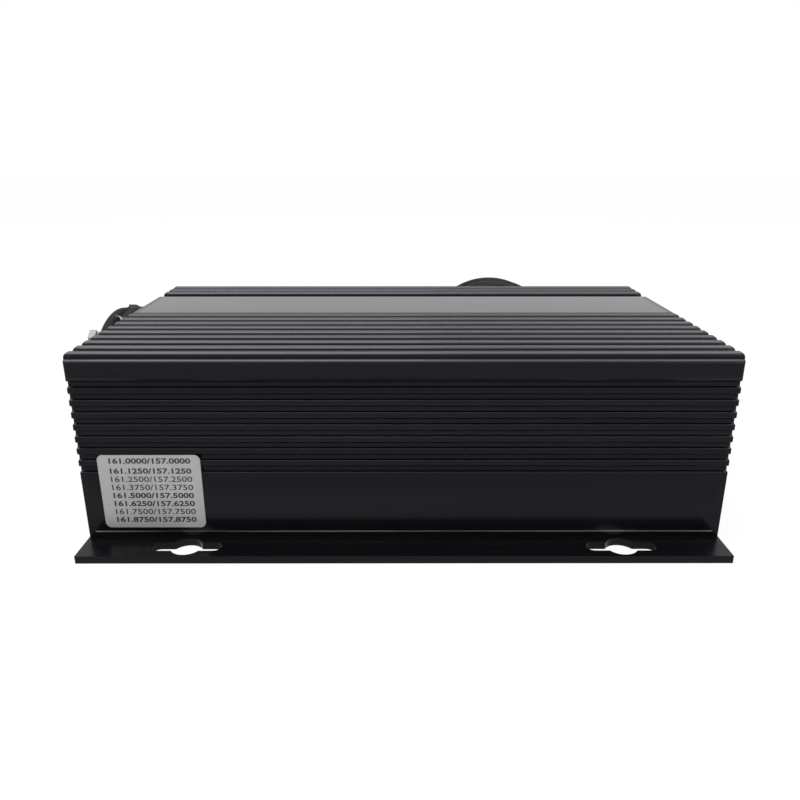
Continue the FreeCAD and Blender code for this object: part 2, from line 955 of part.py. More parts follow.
def right_end_plate():
    cuts = [
        through_right(jack_radius + hole_play, jack_y, antenna_jack_z),
        through_right(jack_radius + hole_play, jack_y, radio_jack_z),
        through_right(bush_radius + hole_play, selector_y, selector_z),
        through_right(sleeve_root_radius - hole_play, control_y, control_z),
    ]
    cuts += [through_right(lamp_radius + hole_play, lamp_y, z) for z in lamp_rows()]
    half_width = bezel_half_width - bezel_wall
    half_height = bezel_half_height - bezel_wall
    cuts.append(box(shell_half - 1, half_length + 1,
                    rocker_y - half_width - hole_play, rocker_y + half_width + hole_play,
                    rocker_z - half_height - hole_play, rocker_z + half_height + hole_play))
    return end_plate_blank(1).cut(cuts)


def lamp_rows():
    return [lamp_z, lamp_z + lamp_spacing]


def plate_screws(side):
    screw = pan_screw(port_bore - shaft_play, port_screw_length)
    return screw_set(screw, plate_screw_places(side), X_AXIS * side)


def channel_label():
    left = -half_length + label_from_end
    plate = box(left, left + label_length, -half_depth - label_thickness, -half_depth,
                label_rise, label_rise + label_height)
    corners = [edge for edge in plate.Edges if abs(edge.tangentAt(edge.FirstParameter).y) > 0.9]
    return plate.makeFillet(label_corner, corners)


# Main board assembly

def transistor_places():
    return [spreader_centre - transistor_pitch / 2, spreader_centre + transistor_pitch / 2]


def main_board():
    board = box(board_left, board_right, -board_half_width, board_half_width,
                board_bottom, board_top)
    cuts = [rod(screw_radius + screw_play, board_thickness + 2, V(x, y, board_bottom - 1), Z_AXIS)
            for x, y in pillar_places()]
    for x in transistor_places():
        half = flange_width / 2 + window_gap
        reach = flange_length / 2 + window_gap
        cuts.append(box(x - half, x + half, -reach, reach, board_bottom - 1, board_top + 1))
    for x, y in spreader_places():
        cuts.append(rod(countersink_radius, board_thickness + 2, V(x, y, board_bottom - 1), Z_AXIS))
    return board.cut(cuts)


def board_pillars():
    pillars = []
    for x, y in pillar_places():
        pillar = hex_bar(pillar_flats, pillar_height, V(x, y, base_thickness), Z_AXIS)
        bore = rod(screw_radius + shaft_play, pillar_height, V(x, y, base_thickness), Z_AXIS)
        pillars.append(pillar.cut(bore))
    return Part.makeCompound(pillars)


def board_screws():
    screw = pan_screw(screw_radius, board_thickness + pillar_height * 0.4)
    return screw_set(screw, [V(x, y, board_top) for x, y in pillar_places()], Z_AXIS)


def pillar_screws():
    screw = countersunk_screw(screw_radius, base_thickness + pillar_height * 0.4)
    return screw_set(screw, [V(x, y, 0) for x, y in pillar_places()], Z_AXIS * -1)


def spreader_screws():
    screw = countersunk_screw(screw_radius, base_thickness + (spreader_top - base_thickness) * 0.7)
    return screw_set(screw, [V(x, y, 0) for x, y in spreader_places()], Z_AXIS * -1)


def heat_spreader():
    block = box(spreader_centre - spreader_length / 2, spreader_centre + spreader_length / 2,
                -spreader_width / 2, spreader_width / 2, base_thickness, spreader_top)
    depth = (spreader_top - base_thickness) * 0.8
    cuts = [rod(screw_radius + shaft_play, depth, V(x, y, base_thickness), Z_AXIS)
            for x, y in spreader_places()]
    cuts += [rod(screw_radius + shaft_play, depth, V(x, y, spreader_top - depth), Z_AXIS)
             for x, y in flange_screw_places()]
    return block.cut(cuts)


def flange_screw_places():
    reach = flange_length / 2 - flange_screw_inset
    return [(x, y) for x in transistor_places() for y in (-reach, reach)]


def power_transistors():
    solids = []
    flange_top = spreader_top + flange_thickness
    half = transistor_body / 2
    for x in transistor_places():
        flange = box(x - flange_width / 2, x + flange_width / 2,
                     -flange_length / 2, flange_length / 2, spreader_top, flange_top)
        body = box(x - half, x + half, -half, half, flange_top, flange_top + transistor_height)
        low = board_top
        lead = box(x - half - lead_reach, x + half + lead_reach, -half / 2, half / 2,
                   low, low + lead_thickness)
        cuts = [rod(screw_radius + screw_play, flange_thickness + 2, V(x, y, spreader_top - 1), Z_AXIS)
                for _, y in flange_screw_places()[:2]]
        solids.append(merged([flange, body, lead]).cut(cuts))
    return Part.makeCompound(solids)


def transistor_screws():
    screw = pan_screw(screw_radius, flange_thickness + (spreader_top - base_thickness) * 0.6)
    top = spreader_top + flange_thickness
    return screw_set(screw, [V(x, y, top) for x, y in flange_screw_places()], Z_AXIS)


def shield_can():
    left = spreader_centre - can_length / 2 + 2
    outer = box(left, left + can_length, -can_width / 2, can_width / 2,
                board_top, board_top + can_height)
    inner = box(left + can_wall, left + can_length - can_wall,
                -can_width / 2 + can_wall, can_width / 2 - can_wall,
                board_top - 1, board_top + can_height - can_wall)
    return outer.cut(inner)


def output_transformer():
    half = transformer_width / 2
    x = spreader_centre + transistor_pitch / 2 + flange_width / 2 + transformer_gap
    block = box(x, x + transformer_length, -half, half, board_top, board_top + transformer_height)
    middle = board_top + transformer_height / 2
    bores = [rod(transformer_bore, transformer_length + 2, V(x - 1, y, middle))
             for y in (-half / 2, half / 2)]
    return block.cut(bores)


def filter_coils():
    x = board_left + ring_inset
    y = -board_half_width + 2 * pillar_edge + ring_outer
    rings = [tube_ring(ring_outer, ring_inner, ring_height, V(x + k * ring_pitch, y, board_top), Z_AXIS)
             for k in range(ring_count)]
    return Part.makeCompound([ring.makeFillet(1.0, ring.Edges[:1]) for ring in rings])


def channel_filters():
    y = board_half_width - 2 * pillar_edge - filter_width
    cans = []
    for k in range(filter_count):
        x = board_left + filter_inset + k * (filter_length + filter_gap)
        can = box(x, x + filter_length, y, y + filter_width, board_top, board_top + filter_height)
        upright = [edge for edge in can.Edges if abs(edge.tangentAt(edge.FirstParameter).z) > 0.9]
        cans.append(can.makeFillet(1.5, upright))
    return Part.makeCompound(cans)


def trimmer_capacitors():
    x = board_left + trimmer_inset
    half = trimmer_slot / 2
    top = board_top + trimmer_height
    discs = []
    for k in range(trimmer_count):
        centre = V(x + k * trimmer_pitch, -trimmer_shift, board_top)
        disc = rod(trimmer_radius, trimmer_height, centre, Z_AXIS)
        slot = box(centre.x - trimmer_radius, centre.x + trimmer_radius,
                   centre.y - half, centre.y + half, top - trimmer_slot, top + 1)
        discs.append(disc.cut(slot))
    return Part.makeCompound(discs)


def antenna_relay():
    x = board_right - relay_inset
    half = relay_width / 2
    relay = box(x - relay_length, x, -relay_shift - half, -relay_shift + half,
                board_top, board_top + relay_height)
    return relay.makeFillet(0.8, relay.Edges)


def storage_capacitors():
    x = board_right - storage_inset
    y = -board_half_width + storage_from_edge
    cans = []
    for k in range(storage_count):
        can = rod(storage_radius, storage_height, V(x - storage_pitch * k, y, board_top), Z_AXIS)
        rim = [edge for edge in can.Edges if edge.BoundBox.ZMin > board_top + storage_height / 2]
        cans.append(can.makeFillet(0.8, [edge for edge in rim if edge.Length > storage_radius * 3]))
    return Part.makeCompound(cans)


def control_chips():
    y = board_half_width - chip_from_edge - chip_size
    chips = []
    for k in range(chip_count):
        x = board_right - chip_inset - k * chip_pitch
        chips.append(box(x, x + chip_size, y, y + chip_size, board_top, board_top + chip_height))
    return Part.makeCompound(chips)


def terminal_place():
    return V(board_left + terminal_inset, boot_root.y, board_top + terminal_height)


def supply_terminal():
    top = terminal_place()
    half = terminal_length / 2
    block = box(top.x - half, top.x + half, top.y - terminal_width / 2, top.y + terminal_width / 2,
                board_top, top.z)
    cuts = [rod(terminal_bore, terminal_depth, V(top.x, top.y + side * terminal_pitch / 2,
                                                 top.z - terminal_depth), Z_AXIS)
            for side in (-1, 1)]
    return block.cut(cuts)


def fuse_place():
    y = boot_root.y + terminal_width / 2 + holder_gap + holder_end
    return V(board_left + holder_inset + holder_wall, y, board_top + holder_floor)


def fuse_block(play, top):
    low = fuse_place()
    return box(low.x - play, low.x + fuse_thickness + play, low.y - play, low.y + fuse_length + play,
               low.z - play, top)


def fuse_holder():
    low = fuse_place()
    side = holder_wall + shaft_play
    end = holder_end + shaft_play
    holder = box(low.x - side, low.x + fuse_thickness + side, low.y - end, low.y + fuse_length + end,
                 board_top, board_top + holder_height)
    return holder.cut(fuse_block(shaft_play, board_top + holder_height + 1))


def supply_fuse():
    return fuse_block(0, board_top + holder_floor + fuse_height)


def supply_wires():
    top = terminal_place()
    wires = []
    for side in (-1, 1):
        y = top.y + side * terminal_pitch / 2
        start = V(boot_stem_end, boot_root.y + side * wire_spread, boot_root.z)
        points = [
            start,
            start + V(4.0, 0, 0),
            V(top.x + 1.5, y - side * 0.4, boot_root.z - 5.0),
            V(top.x, y, boot_root.z - 11.0),
            V(top.x, y, top.z - terminal_depth),
        ]
        wires.append(lead_tube("supply_wire", points, wire_diameter))
    return Part.makeCompound(wires)


def jack_cables():
    cables = []
    x = board_right - cable_landing_inset
    for z, side, knee in ((antenna_jack_z, antenna_cable_side, antenna_cable_knee),
                          (radio_jack_z, radio_cable_side, radio_cable_knee)):
        y = jack_y - side
        points = [
            V(contact_back, jack_y, z),
            V(contact_back - cable_straight, jack_y, z),
            V(x + cable_straight / 4, (jack_y + y) / 2, z - knee),
            V(x, y, board_top + cable_rise),
            V(x, y, board_top),
        ]
        cables.append(lead_tube("jack_cable", points, jack_cable_diameter))
    return Part.makeCompound(cables)


# Jacks on the right end plate

def jack_solid(z):
    flange = rod(jack_flange_radius, jack_flange, V(half_length, jack_y, z))
    rim = [edge for edge in flange.Edges if edge.Length > jack_flange_radius * 3]
    flange = flange.makeChamfer(0.4, rim)
    barrel = rod(jack_radius, jack_rear + end_plate + jack_flange + jack_length,
                 V(jack_back, jack_y, z))
    mouth = half_length + jack_flange + jack_length
    floor = half_length + jack_flange + jack_floor
    bore = rod(jack_bore, mouth - floor + 1, V(floor, jack_y, z))
    core = rod(insulator_radius, jack_rear + end_plate + jack_flange + jack_floor + 1,
               V(jack_back - 0.5, jack_y, z))
    return flange.fuse(barrel).cut(bore).cut(core)


def jack_rows():
    return (antenna_jack_z, radio_jack_z)


def jack_insulators():
    length = half_length + jack_flange + jack_floor - jack_back
    return Part.makeCompound([
        tube_ring(insulator_radius - shaft_play, contact_core + shaft_play, length,
                  V(jack_back, jack_y, z))
        for z in jack_rows()])


def jack_contacts():
    contacts = []
    floor = half_length + jack_flange + jack_floor
    for z in jack_rows():
        core = rod(contact_core, floor - contact_back, V(contact_back, jack_y, z))
        tip = rod(contact_radius, contact_length, V(floor, jack_y, z))
        socket = rod(contact_core, contact_length - 1, V(floor + 1, jack_y, z))
        slot = box(floor + 3, floor + contact_length + 1, jack_y - 0.2, jack_y + 0.2, z - 2, z + 2)
        contacts.append(core.fuse(tip).cut([socket, slot]))
    return Part.makeCompound(contacts)


def jack_nuts():
    nuts = []
    for z in jack_rows():
        start = shell_half - jack_washer - jack_nut_height
        nut = hex_bar(jack_nut_flats, jack_nut_height, V(start, jack_y, z))
        nuts.append(nut.cut(rod(jack_radius + shaft_play, jack_nut_height, V(start, jack_y, z))))
    return Part.makeCompound(nuts)


def jack_washers():
    return Part.makeCompound([
        tube_ring(jack_nut_flats / 2, jack_radius + hole_play, jack_washer,
                  V(shell_half - jack_washer, jack_y, z)) for z in jack_rows()])


# Channel selector

def at_selector(x):
    return V(x, selector_y, selector_z)


def selector_switch():
    body_end = shell_half
    body = box(body_end - switch_depth, body_end,
               selector_y - switch_body / 2, selector_y + switch_body / 2,
               selector_z - switch_body / 2, selector_z + switch_body / 2)
    bush = rod(bush_radius, half_length + bush_length - body_end, at_selector(body_end))
    bore_start = body_end - switch_depth * 0.6
    bore = rod(shaft_radius + shaft_play, half_length + bush_length - bore_start + 1,
               at_selector(bore_start))
    return body.fuse(bush).cut(bore)


def selector_shaft():
    start = shell_half - switch_depth * 0.6 + fit_gap
    shaft = rod(shaft_radius, half_length + shaft_length - start, at_selector(start))
    tip = [edge for edge in shaft.Edges if edge.BoundBox.XMin > half_length]
    return shaft.makeChamfer(0.4, [edge for edge in tip if edge.Length > shaft_radius * 3])


def selector_nut():
    start = half_length + dial_thickness
    nut = hex_bar(selector_nut_flats, selector_nut_height, at_selector(start))
    return nut.cut(rod(bush_radius + shaft_play, selector_nut_height, at_selector(start)))


def dial_plate():
    return tube_ring(dial_radius, bush_radius + hole_play, dial_thickness, at_selector(half_length))


def knob_back():
    return half_length + dial_thickness + 0.6


def selector_knob():
    back = knob_back()
    knob = rod(knob_radius, knob_length, at_selector(back))
    rim = [edge for edge in knob.Edges if edge.BoundBox.XMin > back + 1]
    knob = knob.makeChamfer(knob_chamfer, [edge for edge in rim if edge.Length > knob_radius * 3])
    cavity_end = half_length + bush_length + 0.6
    cuts = [
        rod(knob_cavity, cavity_end - back + 1, at_selector(back - 1)),
        rod(shaft_radius + 0.02, half_length + shaft_length + 0.5 - cavity_end + 1,
            at_selector(cavity_end - 1)),
        rod(set_screw_radius + shaft_play, knob_radius, set_screw_place(), Y_AXIS * -1),
    ]
    skirt = 3.0
    for k in range(knob_flutes):
        angle = math.radians(360 * (k + 0.5) / knob_flutes)
        reach = knob_radius + flute_radius * 0.45
        centre = at_selector(back + skirt) + V(0, reach * math.cos(angle), reach * math.sin(angle))
        cuts.append(rod(flute_radius, knob_length, centre))
    front = back + knob_length
    cuts.append(box(front - pointer_depth, front + 1,
                    selector_y - pointer_width / 2, selector_y + pointer_width / 2,
                    selector_z + knob_radius * 0.25, selector_z + knob_radius + 1))
    return knob.cut(cuts)


def set_screw_place():
    return V((half_length + bush_length + half_length + shaft_length) / 2,
             selector_y - shaft_radius - 0.05, selector_z)


def knob_set_screw():
    return rod(set_screw_radius, knob_radius * 0.45, set_screw_place(), Y_AXIS * -1)


# Rocker switch

def rocker_pivot():
    return V(half_length, rocker_y, rocker_z)


def switch_housing():
    pivot = rocker_pivot()
    back = shell_half - switch_back
    half_w = bezel_half_width - bezel_wall
    half_h = bezel_half_height - bezel_wall
    bezel = box(half_length, half_length + bezel_thickness,
                rocker_y - bezel_half_width, rocker_y + bezel_half_width,
                rocker_z - bezel_half_height, rocker_z + bezel_half_height)
    lengthways = [edge for edge in bezel.Edges if abs(edge.tangentAt(edge.FirstParameter).x) > 0.9]
    bezel = bezel.makeFillet(1.0, lengthways)
    body = box(back, half_length, rocker_y - half_w, rocker_y + half_w,
               rocker_z - half_h, rocker_z + half_h)
    dip = rocker_root + rocker_half * math.sin(math.radians(rocker_tilt)) + 2 * fit_gap
    well = box(pivot.x - dip, half_length + bezel_thickness + 1,
               rocker_y - rocker_width / 2 - fit_gap, rocker_y + rocker_width / 2 + fit_gap,
               rocker_z - half_h + 0.6, rocker_z + half_h - 0.6)
    pin = rod(pivot_radius, 2 * half_w, V(pivot.x, rocker_y - half_w, pivot.z), Y_AXIS)
    return merged([bezel.fuse(body).cut(well), pin])


def switch_rocker():
    pivot = rocker_pivot()
    profile = [
        (-rocker_root, -rocker_half * 0.8), (rocker_edge, -rocker_half), (rocker_dip, 0),
        (rocker_edge, rocker_half), (-rocker_root, rocker_half * 0.8),
    ]
    low = rocker_y - rocker_width / 2
    corners = [V(pivot.x + out, low, pivot.z + up) for out, up in profile]
    rocker = Part.Face(Part.makePolygon(corners + corners[:1])).extrude(V(0, rocker_width, 0))
    bore = rod(pivot_radius + pivot_play, rocker_width + 2, V(pivot.x, low - 1, pivot.z), Y_AXIS)
    rocker = rocker.cut(bore)
    rocker.rotate(pivot, Y_AXIS, rocker_tilt)
    return rocker


def switch_blades():
    back = shell_half - switch_back
    return Part.makeCompound([
        box(back - blade_length, back, rocker_y - blade_width / 2, rocker_y + blade_width / 2,
            rocker_z + shift - blade_thickness / 2, rocker_z + shift + blade_thickness / 2)
        for shift in (-blade_spacing / 2, blade_spacing / 2)])


# Lamps and control board

def indicator_lamps():
    lamps = []
    start = control_board_x + board_thickness
    length = half_length + lamp_bezel + lamp_proud - start - lamp_radius / 2
    for z in lamp_rows():
        body = rod(lamp_radius, length, V(start, lamp_y, z))
        dome = Part.makeSphere(lamp_radius, V(start + length, lamp_y, z))
        dome = dome.common(box(start + length, start + length + lamp_radius, lamp_y - 5, lamp_y + 5,
                               z - 5, z + 5))
        lamps.append(merged([body, dome]))
    return Part.makeCompound(lamps)


def lamp_bezels():
    bezels = []
    for z in lamp_rows():
        ring = tube_ring(lamp_bezel_radius, lamp_radius + hole_play, lamp_bezel,
                         V(half_length, lamp_y, z))
        rim = [edge for edge in ring.Edges
               if edge.BoundBox.XMin > half_length + lamp_bezel / 2 and edge.BoundBox.ZLength > 6]
        bezels.append(ring.makeChamfer(0.4, rim))
    return Part.makeCompound(bezels)


def control_board():
    half = control_board_width / 2
    low = selector_z - control_board_height / 2 + control_board_rise
    return box(control_board_x, control_board_x + board_thickness,
               control_board_y - half, control_board_y + half, low, low + control_board_height)


def control_board_pillars():
    half = control_board_width / 2 - control_pillar_inset
    low = selector_z - control_board_height / 2 + control_board_rise + control_pillar_inset
    start = control_board_x + board_thickness
    return Part.makeCompound([
        hex_bar(pillar_flats, shell_half - start, V(start, y, low))
        for y in (control_board_y - half, control_board_y + half)])


# Supply lead

def power_lead_boot():
    root_x = boot_root.x
    flange = rod(boot_flange_radius, boot_flange,
                 V(-half_length, boot_root.y, boot_root.z), X_AXIS * -1)
    neck = rod(boot_root_radius, -half_length - root_x, V(root_x, boot_root.y, boot_root.z))
    knuckle = Part.makeSphere(boot_root_radius, boot_root)
    taper = Part.makeCone(boot_root_radius, boot_tip_radius, boot_root.z - boot_outlet.z,
                          boot_root, Z_AXIS * -1)
    outside = box(root_x - 20, -half_length, boot_root.y - 20, boot_root.y + 20,
                  boot_outlet.z, boot_root.z + 20)
    body = merged([flange, neck, knuckle, taper]).common(outside)
    stem = rod(boot_stem_radius, boot_stem_end + half_length,
               V(-half_length, boot_root.y, boot_root.z))
    return merged([body, stem])


def boot_locknut():
    start = V(-shell_half, boot_root.y, boot_root.z)
    nut = hex_bar(locknut_flats, locknut_height, start)
    return nut.cut(rod(boot_stem_radius + shaft_play, locknut_height, start))


def power_lead_coil():
    lead_in = [
        Part.LineSegment(boot_outlet, bend_start).toShape(),
        arc_edge(supply_entry, supply_entry_heading * -1, bend_start),
    ]
    end = supply.at(supply.turns)
    heading = supply.heading_at(supply.turns)
    lead_out = [Part.LineSegment(end, end + heading * supply_diameter).toShape()]
    return coil_solid("power_lead_coil", supply, lead_in, lead_out)


def supply_tail_points():
    start = supply.at(supply.turns) + supply.heading_at(supply.turns) * supply_diameter
    heading = supply.heading_at(supply.turns)
    floor_z = floor_gap + supply_diameter / 2
    plug_z = floor_gap + plug_height / 2
    x = start.x
    y = start.y
    return [
        start,
        start + heading * (supply_tail_run * 0.19),
        V(x - plug_drift / 3, y + supply_tail_run * 0.42, floor_z * 2),
        V(x + plug_drift / 6, y + supply_tail_run * 0.64, floor_z),
        V(x + plug_drift, y + supply_tail_run * 0.85, plug_z),
        V(x + plug_drift, y + supply_tail_run, plug_z),
    ]


def power_lead_tail():
    return lead_tube("power_lead_tail", supply_tail_points(), supply_diameter)


def supply_plug_root():
    return supply_tail_points()[-1]


def power_plug():
    root = supply_plug_root()
    half = plug_width / 2
    body = box(root.x - half, root.x + half, root.y, root.y + plug_length,
               root.z - plug_height / 2, root.z + plug_height / 2)
    lengthways = [edge for edge in body.Edges if abs(edge.tangentAt(edge.FirstParameter).y) > 0.9]
    body = body.makeFillet(plug_height * 0.28, lengthways)
    waist = plug_width * 0.22
    depth = plug_length * 0.3
    cuts = []
    for side in (-1, 1):
        near = root.x + side * (half - waist)
        far = root.x + side * (half + 1)
        cuts.append(box(min(near, far), max(near, far), root.y - 1, root.y + depth,
                        root.z - plug_height, root.z + plug_height))
    pins = [rod(plug_pin_radius + shaft_play, 6, V(x, root.y + plug_length - 6, root.z), Y_AXIS)
            for x in plug_pin_rows()]
    return body.cut(cuts + pins)


def plug_pin_rows():
    root = supply_plug_root()
    return (root.x - plug_pin_pitch / 2, root.x + plug_pin_pitch / 2)


def power_plug_pins():
    root = supply_plug_root()
    pins = []
    for x in plug_pin_rows():
        pin = rod(plug_pin_radius, plug_pin_length + 6, V(x, root.y + plug_length - 6, root.z), Y_AXIS)
        tip = [edge for edge in pin.Edges if edge.BoundBox.YMin > root.y + plug_length]
        pins.append(pin.makeFillet(plug_pin_radius * 0.7,
                                   [edge for edge in tip if edge.Length > plug_pin_radius * 4]))
    return Part.makeCompound(pins)


# Ties round the two coils

def clear_coil_tie():
    return merged([tie_with_far_head(supply, clear_tie_angle), tie_tail(supply, clear_tie_angle)])


def dark_coil_ties():
    return Part.makeCompound([
        tie_with_top_head(supply, dark_tie_angle, dark_tie_seat),
        tie_with_top_head(control, control_tie_angle, control_tie_seat)])


# Control lead

def control_lead_bush():
    start = V(half_length, control_y, control_z)
    flange = rod(sleeve_flange_radius, sleeve_flange, start)
    sleeve = Part.makeCone(sleeve_root_radius, sleeve_tip_radius, sleeve_length - sleeve_flange,
                           start + X_AXIS * sleeve_flange, X_AXIS)
    stem = rod(sleeve_root_radius - 2 * hole_play, end_plate, start - X_AXIS * end_plate)
    barb = Part.makeCone(sleeve_root_radius - 3 * hole_play, sleeve_root_radius + hole_play, 3.0,
                         start - X_AXIS * (end_plate + 3.0), X_AXIS)
    rings = [tube_ring(sleeve_root_radius, sleeve_tip_radius - 0.6, 0.8,
                       start + X_AXIS * (sleeve_flange + 2.0 + k * 2.4)) for k in range(4)]
    return merged([flange, sleeve, stem, barb]).cut(rings)


def control_start_points():
    entry = control.at(0) + X_AXIS * (2 * control_diameter)
    floor_z = floor_gap + control_diameter / 2
    drop = control_z - floor_z
    x = half_length + sleeve_length
    y = control_y
    return [
        V(x, y, control_z),
        V(x + 12.5, y, control_z),
        V(x + 22.5, y + 7, control_z - drop * 0.36),
        V(x + 22.5, y + 20, control_z - drop * 0.82),
        V(x + 13.5, y + 33, floor_z + 0.3),
        V(x - 3, y + 39, floor_z),
        V(x - 25, y + 35.5, floor_z + 0.1),
        V(entry.x + 13.0, entry.y, entry.z),
        entry,
    ]


def control_lead_start():
    return lead_tube("control_lead_start", control_start_points(), control_diameter)


def control_lead_coil():
    ahead = X_AXIS * -1
    step = ahead * control_diameter
    entry = control.at(0)
    end = control.at(control.turns)
    lead_in = [Part.LineSegment(entry - step * 2, entry - step).toShape()]
    lead_in += biarc_edges(entry - step, ahead, entry, control.heading_at(0))
    lead_out = biarc_edges(end, control.heading_at(control.turns), end + step, ahead)
    lead_out.append(Part.LineSegment(end + step, end + step * 2).toShape())
    return coil_solid("control_lead_coil", control, lead_in, lead_out)


def control_tail_points():
    start = control.at(control.turns) - X_AXIS * (2 * control_diameter)
    plug_y = half_depth + fit_gap + modular_width / 2
    plug_z = base_thickness + modular_height / 2
    middle_y = (start.y + plug_y) / 2
    return [
        start,
        start - X_AXIS * (control_tail_run * 0.25),
        V(start.x - control_tail_run * 0.51, middle_y + 0.6, start.z + 0.2),
        V(start.x - control_tail_run * 0.78, plug_y, plug_z),
        V(start.x - control_tail_run, plug_y, plug_z),
    ]


def control_lead_tail():
    return lead_tube("control_lead_tail", control_tail_points(), control_diameter)


def control_plug():
    root = control_tail_points()[-1]
    half = modular_width / 2
    tip = root.x - modular_length
    top = root.z + modular_height / 2
    body = box(tip, root.x, root.y - half, root.y + half, root.z - modular_height / 2, top)
    slots = []
    for k in range(8):
        y = root.y + (k - 3.5) * 1.02
        slots.append(box(tip - 1, tip + 6, y - 0.3, y + 0.3, top - 1.2, top + 1))
    latch_end = tip + latch_length
    outline = [
        (tip + 0.6, top - 0.4), (tip + 2.0, top - 0.4), (latch_end, top + latch_rise - latch_thickness),
        (latch_end, top + latch_rise), (tip + 1.2, top + latch_thickness),
    ]
    corners = [V(x, root.y - latch_width / 2, z) for x, z in outline]
    latch = Part.Face(Part.makePolygon(corners + corners[:1])).extrude(V(0, latch_width, 0))
    return merged([body.cut(slots), latch])


pieces = {
    "base_plate": base_plate,
    "cover_shell": cover_shell,
    "left_end_plate": left_end_plate,
    "right_end_plate": right_end_plate,
    "left_plate_screws": lambda: plate_screws(-1),
    "right_plate_screws": lambda: plate_screws(1),
    "channel_label": channel_label,
    "main_board": main_board,
    "board_pillars": board_pillars,
    "board_screws": board_screws,
    "pillar_screws": pillar_screws,
    "heat_spreader": heat_spreader,
    "spreader_screws": spreader_screws,
    "power_transistors": power_transistors,
    "transistor_screws": transistor_screws,
    "shield_can": shield_can,
    "output_transformer": output_transformer,
    "filter_coils": filter_coils,
    "channel_filters": channel_filters,
    "trimmer_capacitors": trimmer_capacitors,
    "antenna_relay": antenna_relay,
    "storage_capacitors": storage_capacitors,
    "control_chips": control_chips,
    "supply_terminal": supply_terminal,
    "fuse_holder": fuse_holder,
    "supply_fuse": supply_fuse,
    "supply_wires": supply_wires,
    "jack_cables": jack_cables,
    "antenna_jack": lambda: jack_solid(antenna_jack_z),
    "radio_jack": lambda: jack_solid(radio_jack_z),
    "jack_insulators": jack_insulators,
    "jack_contacts": jack_contacts,
    "jack_nuts": jack_nuts,
    "jack_washers": jack_washers,
    "selector_switch": selector_switch,
    "selector_nut": selector_nut,
    "dial_plate": dial_plate,
    "selector_shaft": selector_shaft,
    "selector_knob": selector_knob,
    "knob_set_screw": knob_set_screw,
    "control_board": control_board,
    "control_board_pillars": control_board_pillars,
    "indicator_lamps": indicator_lamps,
    "lamp_bezels": lamp_bezels,
    "switch_housing": switch_housing,
    "switch_rocker": switch_rocker,
    "switch_blades": switch_blades,
    "power_lead_boot": power_lead_boot,
    "boot_locknut": boot_locknut,
    "power_lead_coil": power_lead_coil,
    "power_lead_tail": power_lead_tail,
    "power_plug": power_plug,
    "power_plug_pins": power_plug_pins,
    "clear_coil_tie": clear_coil_tie,
    "dark_coil_ties": dark_coil_ties,
    "control_lead_bush": control_lead_bush,
    "control_lead_start": control_lead_start,
    "control_lead_coil": control_lead_coil,
    "control_lead_tail": control_lead_tail,
    "control_plug": control_plug,
}

for name, make in pieces.items():
    save(name, make())
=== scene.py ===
# %% [markdown]
# # A ribbed radio amplifier, dressed in Blender
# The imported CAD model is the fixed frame: it gives every piece its place and its size.
# This lesson adds what CAD leaves out, which is the leads, the small moulded and turned
# details, the markings and the finishes. Nothing from the frame is moved or reshaped.

# %% Load the frame
import math

import bpy
from mathutils import Matrix, Vector


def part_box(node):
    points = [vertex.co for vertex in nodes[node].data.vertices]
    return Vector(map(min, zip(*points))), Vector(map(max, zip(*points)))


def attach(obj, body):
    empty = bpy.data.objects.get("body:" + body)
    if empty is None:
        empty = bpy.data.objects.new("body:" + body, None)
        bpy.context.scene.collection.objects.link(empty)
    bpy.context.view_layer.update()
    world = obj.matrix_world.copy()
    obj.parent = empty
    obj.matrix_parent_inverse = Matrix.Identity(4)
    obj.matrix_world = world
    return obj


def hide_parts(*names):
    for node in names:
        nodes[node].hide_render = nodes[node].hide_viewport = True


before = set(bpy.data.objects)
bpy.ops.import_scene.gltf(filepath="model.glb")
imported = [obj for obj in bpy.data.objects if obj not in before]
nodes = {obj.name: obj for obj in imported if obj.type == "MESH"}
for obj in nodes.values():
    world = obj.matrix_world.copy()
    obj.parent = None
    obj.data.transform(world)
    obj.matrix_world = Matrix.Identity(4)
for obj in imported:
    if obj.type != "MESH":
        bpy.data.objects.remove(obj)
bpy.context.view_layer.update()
MM = 0.001
X_WAY = Vector((1, 0, 0))
Y_WAY = Vector((0, 1, 0))
Z_WAY = Vector((0, 0, 1))


# %% [markdown]
# ## The camera
# The photograph was taken from just above the roof line, straight in front of the label
# side. The place, tilt and lens were fitted to the edges of the housing, so the camera is
# written down as plain numbers and nothing about it is guessed again here.

# %% Camera
lens_mm = 32.4
sensor_mm = 36.0
camera_place = Vector((-1.55, -259.94, 118.15)) * MM
camera_tilt = math.radians(90 - 18.96)
camera_turn = math.radians(-0.08)

camera_data = bpy.data.cameras.new("photo_camera")
camera_data.lens = lens_mm
camera_data.sensor_width = sensor_mm
camera_data.clip_start = 0.01
camera_data.clip_end = 20.0
camera = bpy.data.objects.new("photo_camera", camera_data)
camera.location = camera_place
camera.rotation_euler = (camera_tilt, 0.0, camera_turn)
bpy.context.scene.collection.objects.link(camera)
bpy.context.scene.camera = camera
print("camera", [round(v, 4) for v in camera.location])


# %% [markdown]
# ## Leads as one smooth line
# A lead is one length of wire from its strain relief to its plug, so it is one curve too.
# A NURBS curve of order three slides along its control points without kinks, which is how
# a jacketed lead bends. A coil is the same curve with many control points to each turn.
# The curve runs a little inside its control points, so the coil's points stand out by
# that same share, and the turns come out at their true radius. A turn either grows evenly,
# as a spiral, or keeps its radius and steps out to the next one on a short stretch.

# %% Points of a winding
points_per_turn = 24
step_angle = 2 * math.pi / points_per_turn
inside_share = 0.75 + 0.25 * math.cos(step_angle)


def eased(share):
    return 0.5 - 0.5 * math.cos(math.pi * min(1.0, max(0.0, share)))


